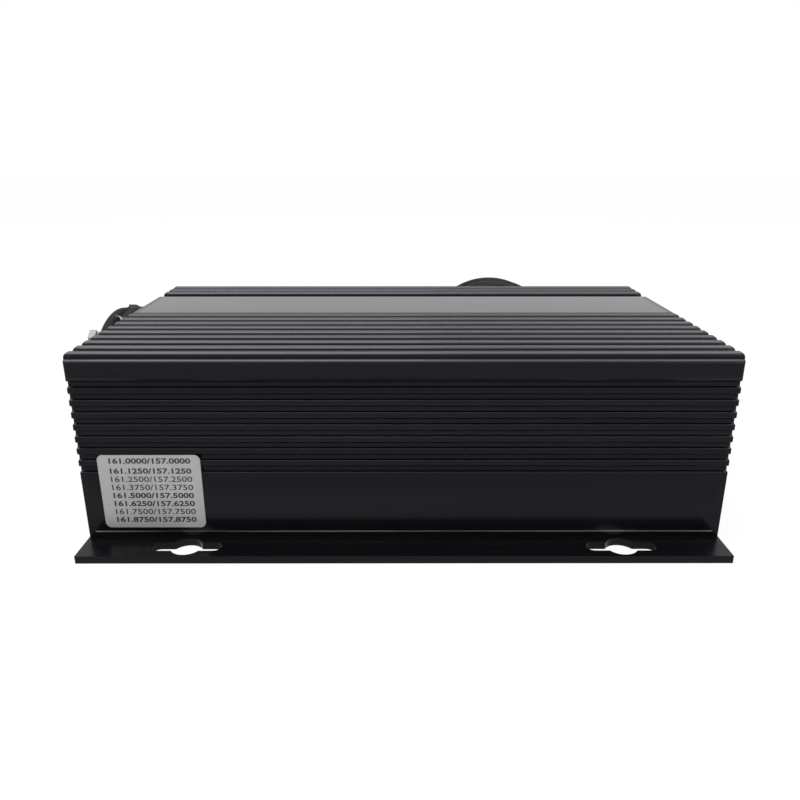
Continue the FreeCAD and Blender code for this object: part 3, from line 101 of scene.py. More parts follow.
def winding_points(centre, first, second, axis, pitch, start_angle, radius, turns,
                   spirals=(), steps=(), climbs=()):
    """Spirals are (start turn, turns, way). Steps and climbs shift it by a pitch in a short while."""
    points = []
    for k in range(round(turns * points_per_turn)):
        turn = (k + 0.5) / points_per_turn
        reach = radius
        for start, length, way in spirals:
            reach += way * pitch * min(length, max(0.0, turn - start))
        for middle, span, way in steps:
            reach += way * pitch * eased((turn - middle) / span + 0.5)
        lift = pitch * sum(eased((turn - middle) / span + 0.5) for middle, span in climbs)
        angle = math.radians(start_angle) + 2 * math.pi * turn
        flat = first * math.cos(angle) + second * math.sin(angle)
        points.append(centre + flat * (reach / inside_share) + axis * lift)
    return points


# %% One curve from its points
def lead_curve(name, points_mm, diameter_mm):
    data = bpy.data.curves.new(name, "CURVE")
    data.dimensions = "3D"
    spline = data.splines.new("NURBS")
    spline.points.add(len(points_mm) - 1)
    for point, place in zip(spline.points, points_mm):
        point.co = (*(place * MM), 1.0)
        point.radius = diameter_mm / 2 * MM
    spline.order_u = 3
    spline.use_endpoint_u = True
    spline.resolution_u = 6
    data.bevel_depth = 1.0
    data.bevel_resolution = 6
    data.use_fill_caps = True
    lead = bpy.data.objects.new(name, data)
    bpy.context.scene.collection.objects.link(lead)
    return lead


# %% [markdown]
# ## The supply lead
# It drops out of a right angle strain relief on the left end, sweeps round into a coil that
# stands on its edge against the end plate, and ends in a two pin plug on the bench.

# %% Supply lead
supply_diameter = 4.2
supply_pitch = 4.7
supply_coil_x = -103.3
boot_y = 2.608
boot_low = 30.392
boot_outlet = Vector((supply_coil_x, boot_y, boot_low))
supply_route_in = [
    boot_outlet,
    Vector((supply_coil_x, boot_y, 20.973)),
    Vector((supply_coil_x, 9.988, 13.592)),
    Vector((supply_coil_x, 20.4, 13.6)),
]
supply_coil = winding_points(
    Vector((supply_coil_x, 10.4, 31.0)), Y_WAY, Z_WAY, -X_WAY, supply_pitch, 315.0, 19.4, 4.875,
    steps=[(0.889, 0.265, 1), (1.889, 0.265, 1), (3.63, 0.29, -1), (4.63, 0.29, -1)],
    climbs=[(2.815, 0.22), (4.725, 0.3)])
supply_route_out = [
    Vector((-112.709, 27.71, 11.6)),
    Vector((-113.102, 43.58, 4.4)),
    Vector((-112.502, 58.76, 2.2)),
    Vector((-111.502, 73.25, 4.2)),
    Vector((-111.502, 83.6, 4.2)),
]
power_cord = lead_curve("power_cord", supply_route_in + supply_coil + supply_route_out,
                        supply_diameter)
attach(power_cord, "housing")
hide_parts("power_lead_coil", "power_lead_tail")
print("supply lead points", len(supply_route_in + supply_coil + supply_route_out))


# %% [markdown]
# ## The control lead
# A longer lead leaves the right end, runs down and round behind the housing, and is wound
# into a taller coil of four layers that stands on the rear flange. Its top shows over the
# roof in the photograph.

# %% Control lead
control_diameter = 4.6
control_pitch = 5.1
control_outlet = Vector((112.0, 46.0, 30.5))
control_route_in = [
    control_outlet,
    Vector((124.5, 46.0, 30.5)),
    Vector((134.5, 53.0, 20.384)),
    Vector((134.5, 66.0, 7.458)),
    Vector((125.5, 79.0, 2.7)),
    Vector((109.0, 85.0, 2.4)),
    Vector((87.0, 81.5, 2.5)),
    Vector((63.2, 75.6, 5.1)),
]
control_coil = winding_points(
    Vector((41.0, 75.6, 34.275)), -X_WAY, Z_WAY, -Y_WAY, control_pitch, 270.0, 29.175, 10.0,
    spirals=[(0.0, 2.5, -1), (2.5, 2.5, 1), (5.0, 2.5, -1), (7.5, 2.5, 1)],
    climbs=[(2.5, 0.5), (5.0, 0.5), (7.5, 0.5)])
control_route_out = [
    Vector((19.05, 60.3, 5.1)),
    Vector((5.79, 62.3, 5.3)),
    Vector((-7.98, 63.1, 5.8)),
    Vector((-19.2, 63.1, 5.8)),
]
control_cord = lead_curve("control_cord", control_route_in + control_coil + control_route_out,
                          control_diameter)
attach(control_cord, "housing")
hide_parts("control_lead_start", "control_lead_coil", "control_lead_tail")
print("control lead points", len(control_route_in + control_coil + control_route_out))


# %% [markdown]
# ## Floor, world and lamps
# The photograph has a plain white ground. The floor is pale and diffuse for light, and the
# camera and the reflections see it white, with the faint contact shadow kept. The world is
# one even white. Two soft lamps give the ribs their shape, and two wide panels overhead,
# which only gloss can see, draw the thin highlights along the crests.

# %% Ways to join nodes
def link(tree, source, target):
    tree.links.new(source, target)


def maths(tree, operation, first, second):
    """A maths node on a socket, and on a second socket or a number."""
    node = tree.nodes.new("ShaderNodeMath")
    node.operation = operation
    link(tree, first, node.inputs[0])
    if isinstance(second, bpy.types.NodeSocket):
        link(tree, second, node.inputs[1])
    else:
        node.inputs[1].default_value = second
    return node.outputs[0]


def sees_background(tree):
    """One where a ray comes from the camera, a reflection or glass, else nought."""
    path = tree.nodes.new("ShaderNodeLightPath")
    seen = maths(tree, "MAXIMUM", path.outputs["Is Camera Ray"], path.outputs["Is Glossy Ray"])
    return maths(tree, "MAXIMUM", seen, path.outputs["Is Transmission Ray"])


def blend_shaders(tree, share, first, second, output):
    """Mixes two shader nodes by a share, into the named output node."""
    blend = tree.nodes.new("ShaderNodeMixShader")
    link(tree, share, blend.inputs[0])
    link(tree, first.outputs[0], blend.inputs[1])
    link(tree, second.outputs[0], blend.inputs[2])
    link(tree, blend.outputs[0], tree.nodes[output].inputs["Surface"])


# %% Floor
floor_size = 6.0
floor_drop = 0.02
floor_paleness = 0.9
floor_glow = 0.86
floor_white = 1.045
bpy.ops.object.select_all(action="DESELECT")
bpy.ops.mesh.primitive_plane_add(size=floor_size, location=(0, 0, -floor_drop * MM))
floor = bpy.context.object
floor.name = "floor"
floor_paint = bpy.data.materials.new("floor_paint")
floor_paint.use_nodes = True
tree = floor_paint.node_tree
tree.nodes.remove(tree.nodes["Principled BSDF"])
matt = tree.nodes.new("ShaderNodeBsdfDiffuse")
matt.inputs["Color"].default_value = (floor_paleness, floor_paleness, floor_paleness, 1)
glow = tree.nodes.new("ShaderNodeEmission")
glow.inputs["Strength"].default_value = floor_white
glow_share = maths(tree, "MULTIPLY", sees_background(tree), floor_glow)
blend_shaders(tree, glow_share, matt, glow, "Material Output")
floor.data.materials.append(floor_paint)
print("floor", floor_size, "m wide")

# %% World
room_strength = 0.7
backdrop_strength = 1.0
world = bpy.data.worlds.new("studio")
world.use_nodes = True
tree = world.node_tree
room = tree.nodes["Background"]
backdrop = tree.nodes.new("ShaderNodeBackground")
for white, strength in ((room, room_strength), (backdrop, backdrop_strength)):
    white.inputs["Color"].default_value = (1, 1, 1, 1)
    white.inputs["Strength"].default_value = strength
blend_shaders(tree, sees_background(tree), room, backdrop, "World Output")
bpy.context.scene.world = world
bpy.context.scene.view_settings.view_transform = "Standard"
print("world strengths", room_strength, backdrop_strength)


# %% Lamps
def soft_lamp(name, place, target, width, depth, power):
    data = bpy.data.lights.new(name, "AREA")
    data.shape = "RECTANGLE"
    data.size = width
    data.size_y = depth
    data.energy = power
    lamp = bpy.data.objects.new(name, data)
    lamp.location = place
    lamp.rotation_euler = (Vector(target) - Vector(place)).to_track_quat("-Z", "Y").to_euler()
    lamp.visible_camera = False
    bpy.context.scene.collection.objects.link(lamp)
    return lamp


lamp_target = (0, 0, 0.03)
panel_height = 0.75
panel_width = 1.4
panels = (("ceiling_panel", 0.15, 0.7, 26.0), ("front_panel", -0.4, 0.4, 2.0))
soft_lamp("overhead_lamp", (-0.2, 0.0, 0.9), lamp_target, 0.5, 0.5, 4.0)
soft_lamp("side_lamp", (0.7, -0.5, 0.6), lamp_target, 0.4, 0.4, 2.0)
for name, y, depth, power in panels:
    panel = soft_lamp(name, (0.0, y, panel_height), (0, y, 0.0), panel_width, depth, power)
    panel.visible_diffuse = False


# %% [markdown]
# ## Finishes
# Every finish starts from the same small recipe: a noise in object space gives the colour
# and the gloss a little life, and a finer noise gives the surface its grain as bump.
# Stretching the noise along one way turns grain into brushed or drawn lines.

# %% Recipe for a finish
def noise(tree, place, scale, detail=3.0, rough=0.55):
    node = tree.nodes.new("ShaderNodeTexNoise")
    node.inputs["Scale"].default_value = scale
    node.inputs["Detail"].default_value = detail
    node.inputs["Roughness"].default_value = rough
    link(tree, place, node.inputs["Vector"])
    return node.outputs["Fac"]


def spread(tree, value, low, high, low_in=0.3, high_in=0.7):
    node = tree.nodes.new("ShaderNodeMapRange")
    node.inputs["From Min"].default_value = low_in
    node.inputs["From Max"].default_value = high_in
    node.inputs["To Min"].default_value = low
    node.inputs["To Max"].default_value = high
    link(tree, value, node.inputs["Value"])
    return node.outputs["Result"]


def mix_colour(tree, value, dark, light):
    """Dark is a colour, or a socket that gives one."""
    node = tree.nodes.new("ShaderNodeMix")
    node.data_type = "RGBA"
    if isinstance(dark, bpy.types.NodeSocket):
        link(tree, dark, node.inputs["A"])
    else:
        node.inputs["A"].default_value = (*dark, 1)
    node.inputs["B"].default_value = (*light, 1)
    link(tree, value, node.inputs["Factor"])
    return node.outputs["Result"]


def bump(tree, height, depth_mm, strength=1.0, under=None):
    node = tree.nodes.new("ShaderNodeBump")
    node.inputs["Strength"].default_value = strength
    node.inputs["Distance"].default_value = depth_mm * MM
    link(tree, height, node.inputs["Height"])
    if under:
        link(tree, under, node.inputs["Normal"])
    return node.outputs["Normal"]


def object_place(tree, stretch=(1, 1, 1)):
    coordinates = tree.nodes.new("ShaderNodeTexCoord")
    mapping = tree.nodes.new("ShaderNodeMapping")
    mapping.inputs["Scale"].default_value = stretch
    link(tree, coordinates.outputs["Object"], mapping.inputs["Vector"])
    return mapping.outputs["Vector"]


def finish(name, dark, light, gloss, grain=900.0, depth_mm=0.01, stretch=(1, 1, 1),
           metallic=0.0, ior=1.5, patch=60.0, sockets=None):
    """Gloss is (lowest, highest) roughness. Returns the material, its tree and its shader."""
    made = bpy.data.materials.new(name)
    made.use_nodes = True
    tree = made.node_tree
    shader = tree.nodes["Principled BSDF"]
    shader.inputs["Metallic"].default_value = metallic
    shader.inputs["IOR"].default_value = ior
    for socket, value in (sockets or {}).items():
        shader.inputs[socket].default_value = value
    place = object_place(tree, stretch)
    patches = noise(tree, place, patch)
    fine = noise(tree, place, grain, detail=2.0)
    colour = mix_colour(tree, spread(tree, patches, 0.0, 1.0), dark, light)
    link(tree, colour, shader.inputs["Base Color"])
    link(tree, spread(tree, fine, *gloss), shader.inputs["Roughness"])
    link(tree, bump(tree, fine, depth_mm), shader.inputs["Normal"])
    return made, tree, shader


def dress(material, *names):
    for name in names:
        for slot in nodes[name].material_slots:
            slot.material = material
    print(material.name, "on", ", ".join(names))


# %% [markdown]
# ## Black anodised aluminium
# The housing is extruded and dyed black. The dye swallows what light enters it, so the finish
# is nearly all gloss: almost black straight on, and bright where the eye meets it at a low
# angle. A mostly metallic shader with a very dark tint does just that. Fine lines run along
# the extrusion, and the cut end plates have an even grain instead.

# %% Anodised finishes
along_x = (0.02, 1.0, 1.0)
anodising = {"metallic": 0.7, "ior": 1.2}
dye_low = (0.0108, 0.0104, 0.0124)
dye_high = (0.0151, 0.0145, 0.0174)
anodised, _, _ = finish("anodised_extrusion", dye_low, dye_high, (0.2, 0.3), grain=2600.0,
                        depth_mm=0.0012, stretch=along_x, patch=120.0, **anodising)
anodised_plate, _, _ = finish("anodised_plate", dye_low, dye_high, (0.24, 0.34), grain=3000.0,
                              depth_mm=0.0015, patch=90.0, **anodising)
dress(anodised, "base_plate")
dress(anodised_plate, "left_end_plate", "right_end_plate")


# %% [markdown]
# ## The cover and the highlight painted along its foot
# The cover is a little glossier than the base. Along its foot, where it meets the flange, a
# thin and uneven pale line is painted into the colour as a highlight of light caught there.
# Height above the foot says where the line is, and a long noise says how bright it is.

# %% Cover finish
cover_dye_low = (0.0103, 0.0101, 0.0121)
cover_dye_high = (0.0145, 0.0142, 0.0169)
# A pale colour, painted along the foot as a highlight.
highlight_colour = (0.5, 0.49, 0.48)
highlight_height = 0.8
highlight_full_height = 0.48
highlight_stretch = (0.12, 1.0, 1.0)
anodised_cover, tree, shader = finish(
    "anodised_cover", cover_dye_low, cover_dye_high, (0.13, 0.21), grain=2600.0, depth_mm=0.0012,
    stretch=along_x, patch=120.0, **anodising)
foot_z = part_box("cover_shell")[0][2]
coordinates = tree.nodes.new("ShaderNodeTexCoord")
apart = tree.nodes.new("ShaderNodeSeparateXYZ")
link(tree, coordinates.outputs["Object"], apart.inputs["Vector"])
# Painted highlight: a thin band just above the foot, stronger and weaker along its length, mixes in
# the pale colour and turns the metal off there.
at_foot = spread(tree, apart.outputs["Z"], 1.0, 0.0, foot_z + highlight_full_height * MM,
                 foot_z + highlight_height * MM)
highlight_strength = spread(tree, noise(tree, object_place(tree, highlight_stretch), 90.0), 0.1, 1.0, 0.36, 0.62)
highlit = maths(tree, "MULTIPLY", at_foot, highlight_strength)
dyed = shader.inputs["Base Color"].links[0].from_socket
link(tree, mix_colour(tree, highlit, dyed, highlight_colour), shader.inputs["Base Color"])
highlight_metallic = spread(tree, highlit, anodising["metallic"], 0.0, 0.0, 1.0)
link(tree, highlight_metallic, shader.inputs["Metallic"])
dress(anodised_cover, "cover_shell")
print("rubbed foot at", round(foot_z / MM, 2), "mm")


# %% [markdown]
# ## Leads and ties
# The leads have a soft vinyl jacket: dark, a little dusty, with a dull sheen. One tie is of
# natural nylon, milky and slightly see through, and the others are black.

# %% Lead and tie finishes
jacket, _, _ = finish("vinyl_jacket", (0.009, 0.0088, 0.009), (0.016, 0.0155, 0.016),
                      (0.62, 0.76), grain=1400.0, depth_mm=0.02, ior=1.12, patch=150.0)
power_cord.data.materials.append(jacket)
control_cord.data.materials.append(jacket)

natural_nylon, _, _ = finish("natural_nylon", (0.25, 0.25, 0.2), (0.34, 0.33, 0.28), (0.32, 0.42),
                             grain=1500.0, depth_mm=0.01, ior=1.25, patch=300.0,
                             sockets={"Subsurface Weight": 0.15, "Subsurface Scale": 0.001,
                                      "Subsurface Radius": (1.0, 0.95, 0.85)})
black_nylon, _, _ = finish("black_nylon", (0.012, 0.012, 0.012), (0.02, 0.02, 0.02), (0.35, 0.45),
                           grain=1500.0, depth_mm=0.01, patch=300.0)
dress(natural_nylon, "clear_coil_tie")
dress(black_nylon, "dark_coil_ties")


# %% [markdown]
# ## Bright metals
# Jacks and nuts are nickel plated, a warm and slightly soft mirror. The shield can and the
# filter cans are tinned steel, screws are zinc plated or blackened, and the heat spreader
# is milled, so its grain runs one way. Plating thickness varies a little, and so does gloss.

# %% Metal finishes
nickel, _, _ = finish("nickel_plate", (0.58, 0.54, 0.48), (0.68, 0.64, 0.58), (0.14, 0.24),
                      grain=1200.0, depth_mm=0.002, metallic=1.0, patch=200.0)
brass, _, _ = finish("plated_brass", (0.62, 0.47, 0.22), (0.75, 0.6, 0.32), (0.2, 0.32),
                     grain=1500.0, depth_mm=0.003, metallic=1.0, patch=260.0)
gold, _, _ = finish("gold_plate", (0.72, 0.5, 0.18), (0.85, 0.64, 0.28), (0.16, 0.26),
                    grain=1500.0, depth_mm=0.002, metallic=1.0, patch=260.0)
tinned, _, _ = finish("tinned_steel", (0.5, 0.5, 0.5), (0.62, 0.62, 0.61), (0.26, 0.42),
                      grain=700.0, depth_mm=0.004, metallic=1.0, patch=80.0)
zinc, _, _ = finish("zinc_steel", (0.48, 0.48, 0.49), (0.6, 0.6, 0.6), (0.24, 0.38),
                    grain=1600.0, depth_mm=0.004, metallic=1.0, patch=240.0)
black_zinc, _, _ = finish("black_zinc", (0.018, 0.018, 0.02), (0.035, 0.035, 0.038), (0.3, 0.42),
                          grain=1800.0, depth_mm=0.004, metallic=1.0, patch=240.0)
milled, _, _ = finish("milled_aluminium", (0.6, 0.6, 0.61), (0.72, 0.72, 0.73), (0.25, 0.4),
                      grain=900.0, depth_mm=0.006, stretch=(1.0, 0.03, 1.0), metallic=1.0,
                      patch=200.0)
dress(nickel, "jack_nuts", "jack_washers", "selector_nut", "lamp_bezels")
dress(brass, "board_pillars", "control_board_pillars", "switch_blades", "power_plug_pins")
dress(gold, "jack_contacts", "power_transistors")
dress(tinned, "shield_can", "channel_filters")
dress(zinc, "board_screws", "transistor_screws", "selector_switch", "selector_shaft")
dress(black_zinc, "left_plate_screws", "right_plate_screws", "pillar_screws", "spreader_screws",
      "knob_set_screw")
dress(milled, "heat_spreader")


# %% [markdown]
# ## Plastics, rubber and boards
# Moulded parts are told apart by their gloss: a satin knob, a glossy rocker, soft rubber
# with almost none. The boards are green solder mask over copper, which shows as slightly
# raised, lighter lines.

# %% Plastic and rubber finishes
def plastic(name, colour, gloss, spread_share=0.2, grain=1500.0, depth_mm=0.01, **more):
    dark = tuple(channel * (1 - spread_share) for channel in colour)
    light = tuple(channel * (1 + spread_share) for channel in colour)
    return finish(name, dark, light, gloss, grain=grain, depth_mm=depth_mm, **more)[0]


knob_plastic = plastic("knob_plastic", (0.022, 0.022, 0.023), (0.4, 0.52), depth_mm=0.02)
rocker_plastic = plastic("rocker_plastic", (0.018, 0.018, 0.018), (0.16, 0.24))
black_plastic = plastic("black_plastic", (0.02, 0.02, 0.02), (0.38, 0.5), depth_mm=0.015)
rubber = plastic("black_rubber", (0.018, 0.018, 0.018), (0.6, 0.75), grain=1100.0, depth_mm=0.03)
green_terminal = plastic("green_terminal", (0.04, 0.24, 0.1), (0.34, 0.45))
fuse_plastic = plastic("fuse_plastic", (0.6, 0.18, 0.03), (0.2, 0.3))
wire_skin = plastic("wire_skin", (0.03, 0.03, 0.03), (0.35, 0.5))
relay_blue = plastic("relay_blue", (0.04, 0.1, 0.3), (0.25, 0.35))
sleeve_blue = plastic("sleeve_blue", (0.02, 0.03, 0.1), (0.2, 0.35))
ferrite = plastic("ferrite", (0.07, 0.068, 0.065), (0.5, 0.65), grain=900.0, depth_mm=0.03)
iron_powder = plastic("iron_powder", (0.4, 0.09, 0.05), (0.35, 0.5))
ceramic = plastic("ceramic", (0.62, 0.55, 0.4), (0.4, 0.55))
fluoropolymer = plastic("fluoropolymer", (0.76, 0.76, 0.74), (0.4, 0.5), spread_share=0.05)
clear_plastic = plastic("clear_plastic", (0.6, 0.62, 0.62), (0.08, 0.14), spread_share=0.05,
                        ior=1.58, sockets={"Transmission Weight": 0.6})
red_lens = plastic("red_lens", (0.5, 0.04, 0.03), (0.1, 0.18), ior=1.5,
                   sockets={"Transmission Weight": 0.35})
dress(knob_plastic, "selector_knob")
dress(rocker_plastic, "switch_rocker")
dress(black_plastic, "switch_housing", "control_chips", "fuse_holder", "boot_locknut",
      "power_plug")
dress(rubber, "power_lead_boot", "control_lead_bush")
dress(green_terminal, "supply_terminal")
dress(fuse_plastic, "supply_fuse")
dress(wire_skin, "supply_wires", "jack_cables")
dress(relay_blue, "antenna_relay")
dress(sleeve_blue, "storage_capacitors")
dress(ferrite, "output_transformer")
dress(iron_powder, "filter_coils")
dress(ceramic, "trimmer_capacitors")
dress(fluoropolymer, "jack_insulators")
dress(clear_plastic, "control_plug")
dress(red_lens, "indicator_lamps")

# %% Circuit boards
track_scale = 160.0
track_width = 0.06
board_green, tree, shader = finish("board_green", (0.01, 0.09, 0.035), (0.02, 0.14, 0.055),
                                   (0.25, 0.4), grain=1200.0, depth_mm=0.01, patch=60.0)
tracks = tree.nodes.new("ShaderNodeTexBrick")
tracks.inputs["Scale"].default_value = track_scale
tracks.inputs["Mortar Size"].default_value = track_width
tracks.inputs["Color1"].default_value = (0.012, 0.1, 0.04, 1)
tracks.inputs["Color2"].default_value = (0.02, 0.13, 0.05, 1)
tracks.inputs["Mortar"].default_value = (0.05, 0.24, 0.09, 1)
link(tree, object_place(tree), tracks.inputs["Vector"])
link(tree, tracks.outputs["Color"], shader.inputs["Base Color"])
dress(board_green, "main_board", "control_board")


# %% [markdown]
# ## Label film and dial plate
# The label is a silver film with a soft sheen. The dial plate is turned, so its fine lines run
# in rings about the shaft: the noise reads the distance from the shaft and nothing else.

# %% Silver film
silver_film, _, _ = finish("silver_film", (0.36, 0.35, 0.355), (0.42, 0.41, 0.415), (0.36, 0.46),
                           grain=2200.0, depth_mm=0.002, metallic=0.25, patch=70.0)
dress(silver_film, "channel_label")

# %% Turned aluminium
ring_grain = 3500.0
ring_depth = 0.006
dial_low, dial_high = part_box("dial_plate")
shaft_y = (dial_low[1] + dial_high[1]) / 2
shaft_z = (dial_low[2] + dial_high[2]) / 2
turned, tree, shader = finish("turned_aluminium", (0.6, 0.6, 0.61), (0.7, 0.7, 0.71),
                              (0.24, 0.36), metallic=1.0, patch=200.0)
coordinates = tree.nodes.new("ShaderNodeTexCoord")
from_shaft = tree.nodes.new("ShaderNodeVectorMath")
from_shaft.operation = "SUBTRACT"
from_shaft.inputs[1].default_value = (0, shaft_y, shaft_z)
link(tree, coordinates.outputs["Object"], from_shaft.inputs[0])
flat = tree.nodes.new("ShaderNodeVectorMath")
flat.operation = "MULTIPLY"
flat.inputs[1].default_value = (0, 1, 1)
link(tree, from_shaft.outputs["Vector"], flat.inputs[0])
distance = tree.nodes.new("ShaderNodeVectorMath")
distance.operation = "LENGTH"
link(tree, flat.outputs["Vector"], distance.inputs[0])
ring_place = tree.nodes.new("ShaderNodeCombineXYZ")
link(tree, distance.outputs["Value"], ring_place.inputs["X"])
rings = noise(tree, ring_place.outputs["Vector"], ring_grain, detail=2.0)
link(tree, bump(tree, rings, ring_depth), shader.inputs["Normal"])
link(tree, spread(tree, rings, 0.22, 0.4), shader.inputs["Roughness"])
dress(turned, "dial_plate")
print("dial at", round(shaft_y / MM, 2), round(shaft_z / MM, 2), "mm")


# %% [markdown]
# ## Ways of working on a new piece
# An operator of Blender acts on all that is selected, so each piece starts with nothing else
# selected, and in edit mode the whole of its mesh is selected before an operator runs. A
# finished piece gets its name, its body, its slot and its material in one place, and its own
# place is moved into its mesh, as in the frame.

# %% Helpers for new pieces
merge_distance = 0.001


def fresh(add, **settings):
    bpy.ops.object.select_all(action="DESELECT")
    add(**settings)
    return bpy.context.object


def alone(piece):
    """Leaves this piece the only one selected, and makes it active."""
    bpy.ops.object.select_all(action="DESELECT")
    piece.select_set(True)
    bpy.context.view_layer.objects.active = piece


def tidy_mesh():
    """In edit mode, merges doubles and turns all faces outwards."""
    bpy.ops.mesh.select_all(action="SELECT")
    bpy.ops.mesh.remove_doubles(threshold=merge_distance * MM)
    bpy.ops.mesh.normals_make_consistent(inside=False)


def apply_place(piece):
    alone(piece)
    bpy.ops.object.transform_apply(location=True, rotation=True, scale=True)


def smoothed(piece, degrees=30.0):
    alone(piece)
    bpy.ops.object.shade_smooth_by_angle(angle=math.radians(degrees))


def bevelled(piece, width_mm):
    """Rounds the sharp edges with a bevel modifier, and applies it."""
    alone(piece)
    rounding = piece.modifiers.new("rounding", "BEVEL")
    rounding.width = width_mm * MM
    rounding.segments = 3
    rounding.limit_method = "ANGLE"
    rounding.angle_limit = math.radians(40.0)
    bpy.ops.object.modifier_apply(modifier="rounding")


def copied(piece, place):
    """A copy with its own mesh, moved by a matrix in metres."""
    twin = piece.copy()
    twin.data = piece.data.copy()
    bpy.context.scene.collection.objects.link(twin)
    twin.matrix_world = place @ twin.matrix_world
    apply_place(twin)
    return twin


def joined(pieces):
    bpy.ops.object.select_all(action="DESELECT")
    for piece in pieces:
        piece.select_set(True)
    bpy.context.view_layer.objects.active = pieces[0]
    bpy.ops.object.join()
    return pieces[0]


def settle(piece, name, body, material):
    apply_place(piece)
    piece.name = name
    piece.data.name = name
    piece.data.materials.clear()
    piece.data.materials.append(material)
    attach(piece, body)
    print(name, len(piece.data.polygons), "faces")
    return piece


# %% [markdown]
# ## Print
# Print is a film of ink on its surface, a few hundredths of a millimetre thick. A text object
# gives its outlines, but only a mesh can be measured and fitted to a width and a height. So
# each line of print is turned into a mesh first, and then placed and scaled.

# %% Helper for print
ink_thickness = 0.03
print_normal_y = Matrix.Rotation(math.radians(90), 4, "X")
print_normal_x = Matrix.Rotation(math.radians(90), 4, "Z") @ print_normal_y


def printed(words, width_mm, height_mm, middle_mm, facing, boldness=0.0):
    """A line of print, in front of its middle point. Without a width it keeps its shape."""
    line = fresh(bpy.ops.object.text_add)
    line.data.body = words
    line.data.extrude = 0.5
    line.data.offset = boldness
    line.data.resolution_u = 3
    bpy.ops.object.convert(target="MESH")
    line = bpy.context.object
    places = [corner.co for corner in line.data.vertices]
    low = Vector(min(place[k] for place in places) for k in range(3))
    high = Vector(max(place[k] for place in places) for k in range(3))
    height_scale = height_mm * MM / (high.y - low.y)
    width_scale = width_mm * MM / (high.x - low.x) if width_mm else height_scale
    bpy.ops.object.mode_set(mode="EDIT")
    bpy.ops.mesh.select_all(action="SELECT")
    bpy.ops.mesh.remove_doubles(threshold=0.0001)
    bpy.ops.object.mode_set(mode="OBJECT")
    size = Matrix.Diagonal((width_scale, height_scale, ink_thickness * MM, 1))
    centre = Matrix.Translation(-(low + high) / 2)
    lifted = Matrix.Translation(Vector((0, 0, ink_thickness / 2 * MM)))
    line.matrix_world = Matrix.Translation(middle_mm * MM) @ facing @ lifted @ size @ centre
    apply_place(line)
    return line


# %% [markdown]
# ## Numbers on the label
# The label lists a pair of channel numbers for each position of the selector, in eight rows.
# The numbers here are plain ones in the same layout. Some rows are printed darker than the
# others, because the printer's ribbon ran unevenly.

# %% Ink and label numbers
black_ink = plastic("black_ink", (0.015, 0.015, 0.018), (0.45, 0.6), grain=2500.0, depth_mm=0.002,
                    spread_share=0.35)
label_low, label_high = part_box("channel_label")
label_face = label_low[1] / MM
print_shift = 0.3
label_middle = (label_low[0] + label_high[0]) / 2 / MM + print_shift
row_count = 8
row_width = 25.1
row_height = 1.9
row_drift = 0.02
first_row_z = 28.77
second_row_z = 25.4
row_step = 2.78
first_pair = (161, 157)
pair_step = 0.125
bold_rows = (0, 1, 4, 5, 7)
bold_line, thin_line = 0.03, 0.01
rows = []
for k in range(row_count):
    z = first_row_z if k == 0 else second_row_z - (k - 1) * row_step
    words = "/".join(f"{number + pair_step * k:.4f}" for number in first_pair)
    spot = Vector((label_middle + row_drift * k, label_face, z))
    boldness = bold_line if k in bold_rows else thin_line
    rows.append(printed(words, row_width, row_height, spot, print_normal_y, boldness))
settle(joined(rows), "label_numbers", "housing", black_ink)


# %% [markdown]
# ## Dial numbers, ticks and the pointer
# Eight channels stand thirty degrees apart round the knob. The knob's joint turns the pointer
# towards each of them, so the same angle places the number and its tick. The ticks are small
# plates with sloped edges, like a drop of ink, and the pointer is paint laid in its slot.

# %% Dial print
dial_face = dial_high[0] / MM
selector_y = shaft_y / MM
selector_z = shaft_z / MM
number_ring = 14.2
tick_ring = 12.0
channel_count = 8
channel_step = 30.0
last_channel_turn = -90.0
number_height = 2.3
number_boldness = 0.008
tick_width = 0.35
tick_slope = 0.05


def toward(turn_degrees, reach):
    """The spot on the dial that the pointer meets when the knob has turned so far."""
    turn = math.radians(turn_degrees)
    return Vector((dial_face, selector_y - math.sin(turn) * reach,
                   selector_z + math.cos(turn) * reach))


dial_print = []
for k in range(channel_count):
    turn = last_channel_turn + channel_step * (channel_count - 1 - k)
    dial_print.append(printed(str(k + 1), None, number_height, toward(turn, number_ring),
                              print_normal_x, number_boldness))
    tick = fresh(bpy.ops.mesh.primitive_plane_add, size=MM)
    bpy.ops.object.mode_set(mode="EDIT")
    bpy.ops.mesh.select_all(action="SELECT")
    bpy.ops.transform.resize(value=(tick_width, 1.0, 1.0))
    bpy.ops.mesh.inset(thickness=tick_slope * MM)
    bpy.ops.transform.translate(value=(0, 0, ink_thickness * MM))
    bpy.ops.object.mode_set(mode="OBJECT")
    tick.matrix_world = (Matrix.Translation(toward(turn, tick_ring) * MM)
                         @ Matrix.Rotation(math.radians(turn), 4, "X") @ print_normal_x)
    apply_place(tick)
    dial_print.append(tick)
settle(joined(dial_print), "dial_marks", "housing", black_ink)

# %% Pointer paint
white_paint = plastic("white_paint", (0.72, 0.72, 0.7), (0.35, 0.5), spread_share=0.06,
                      grain=2000.0, depth_mm=0.01)
knob_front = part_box("selector_knob")[1][0] / MM
slot_depth = 0.6
paint_depth = 0.4
pointer_width = 1.0
pointer_round = 0.15
pointer_low = selector_z + 3.0
pointer_high = selector_z + 10.6
pointer = fresh(bpy.ops.mesh.primitive_cube_add, size=1.0)
pointer.location = Vector((knob_front - slot_depth + paint_depth / 2, selector_y,
                           (pointer_low + pointer_high) / 2)) * MM
pointer.scale = Vector((paint_depth, pointer_width, pointer_high - pointer_low)) * MM
apply_place(pointer)
bevelled(pointer, pointer_round)
smoothed(pointer)
settle(pointer, "knob_pointer", "selector", white_paint)


# %% [markdown]
# ## Marks on the rocker
# A line stands for on and a ring for off. They're pad printed on the two halves of the
# rocker, which slope apart, so each mark is turned to lie in its own face. They ride the
# rocker, and tip with it.

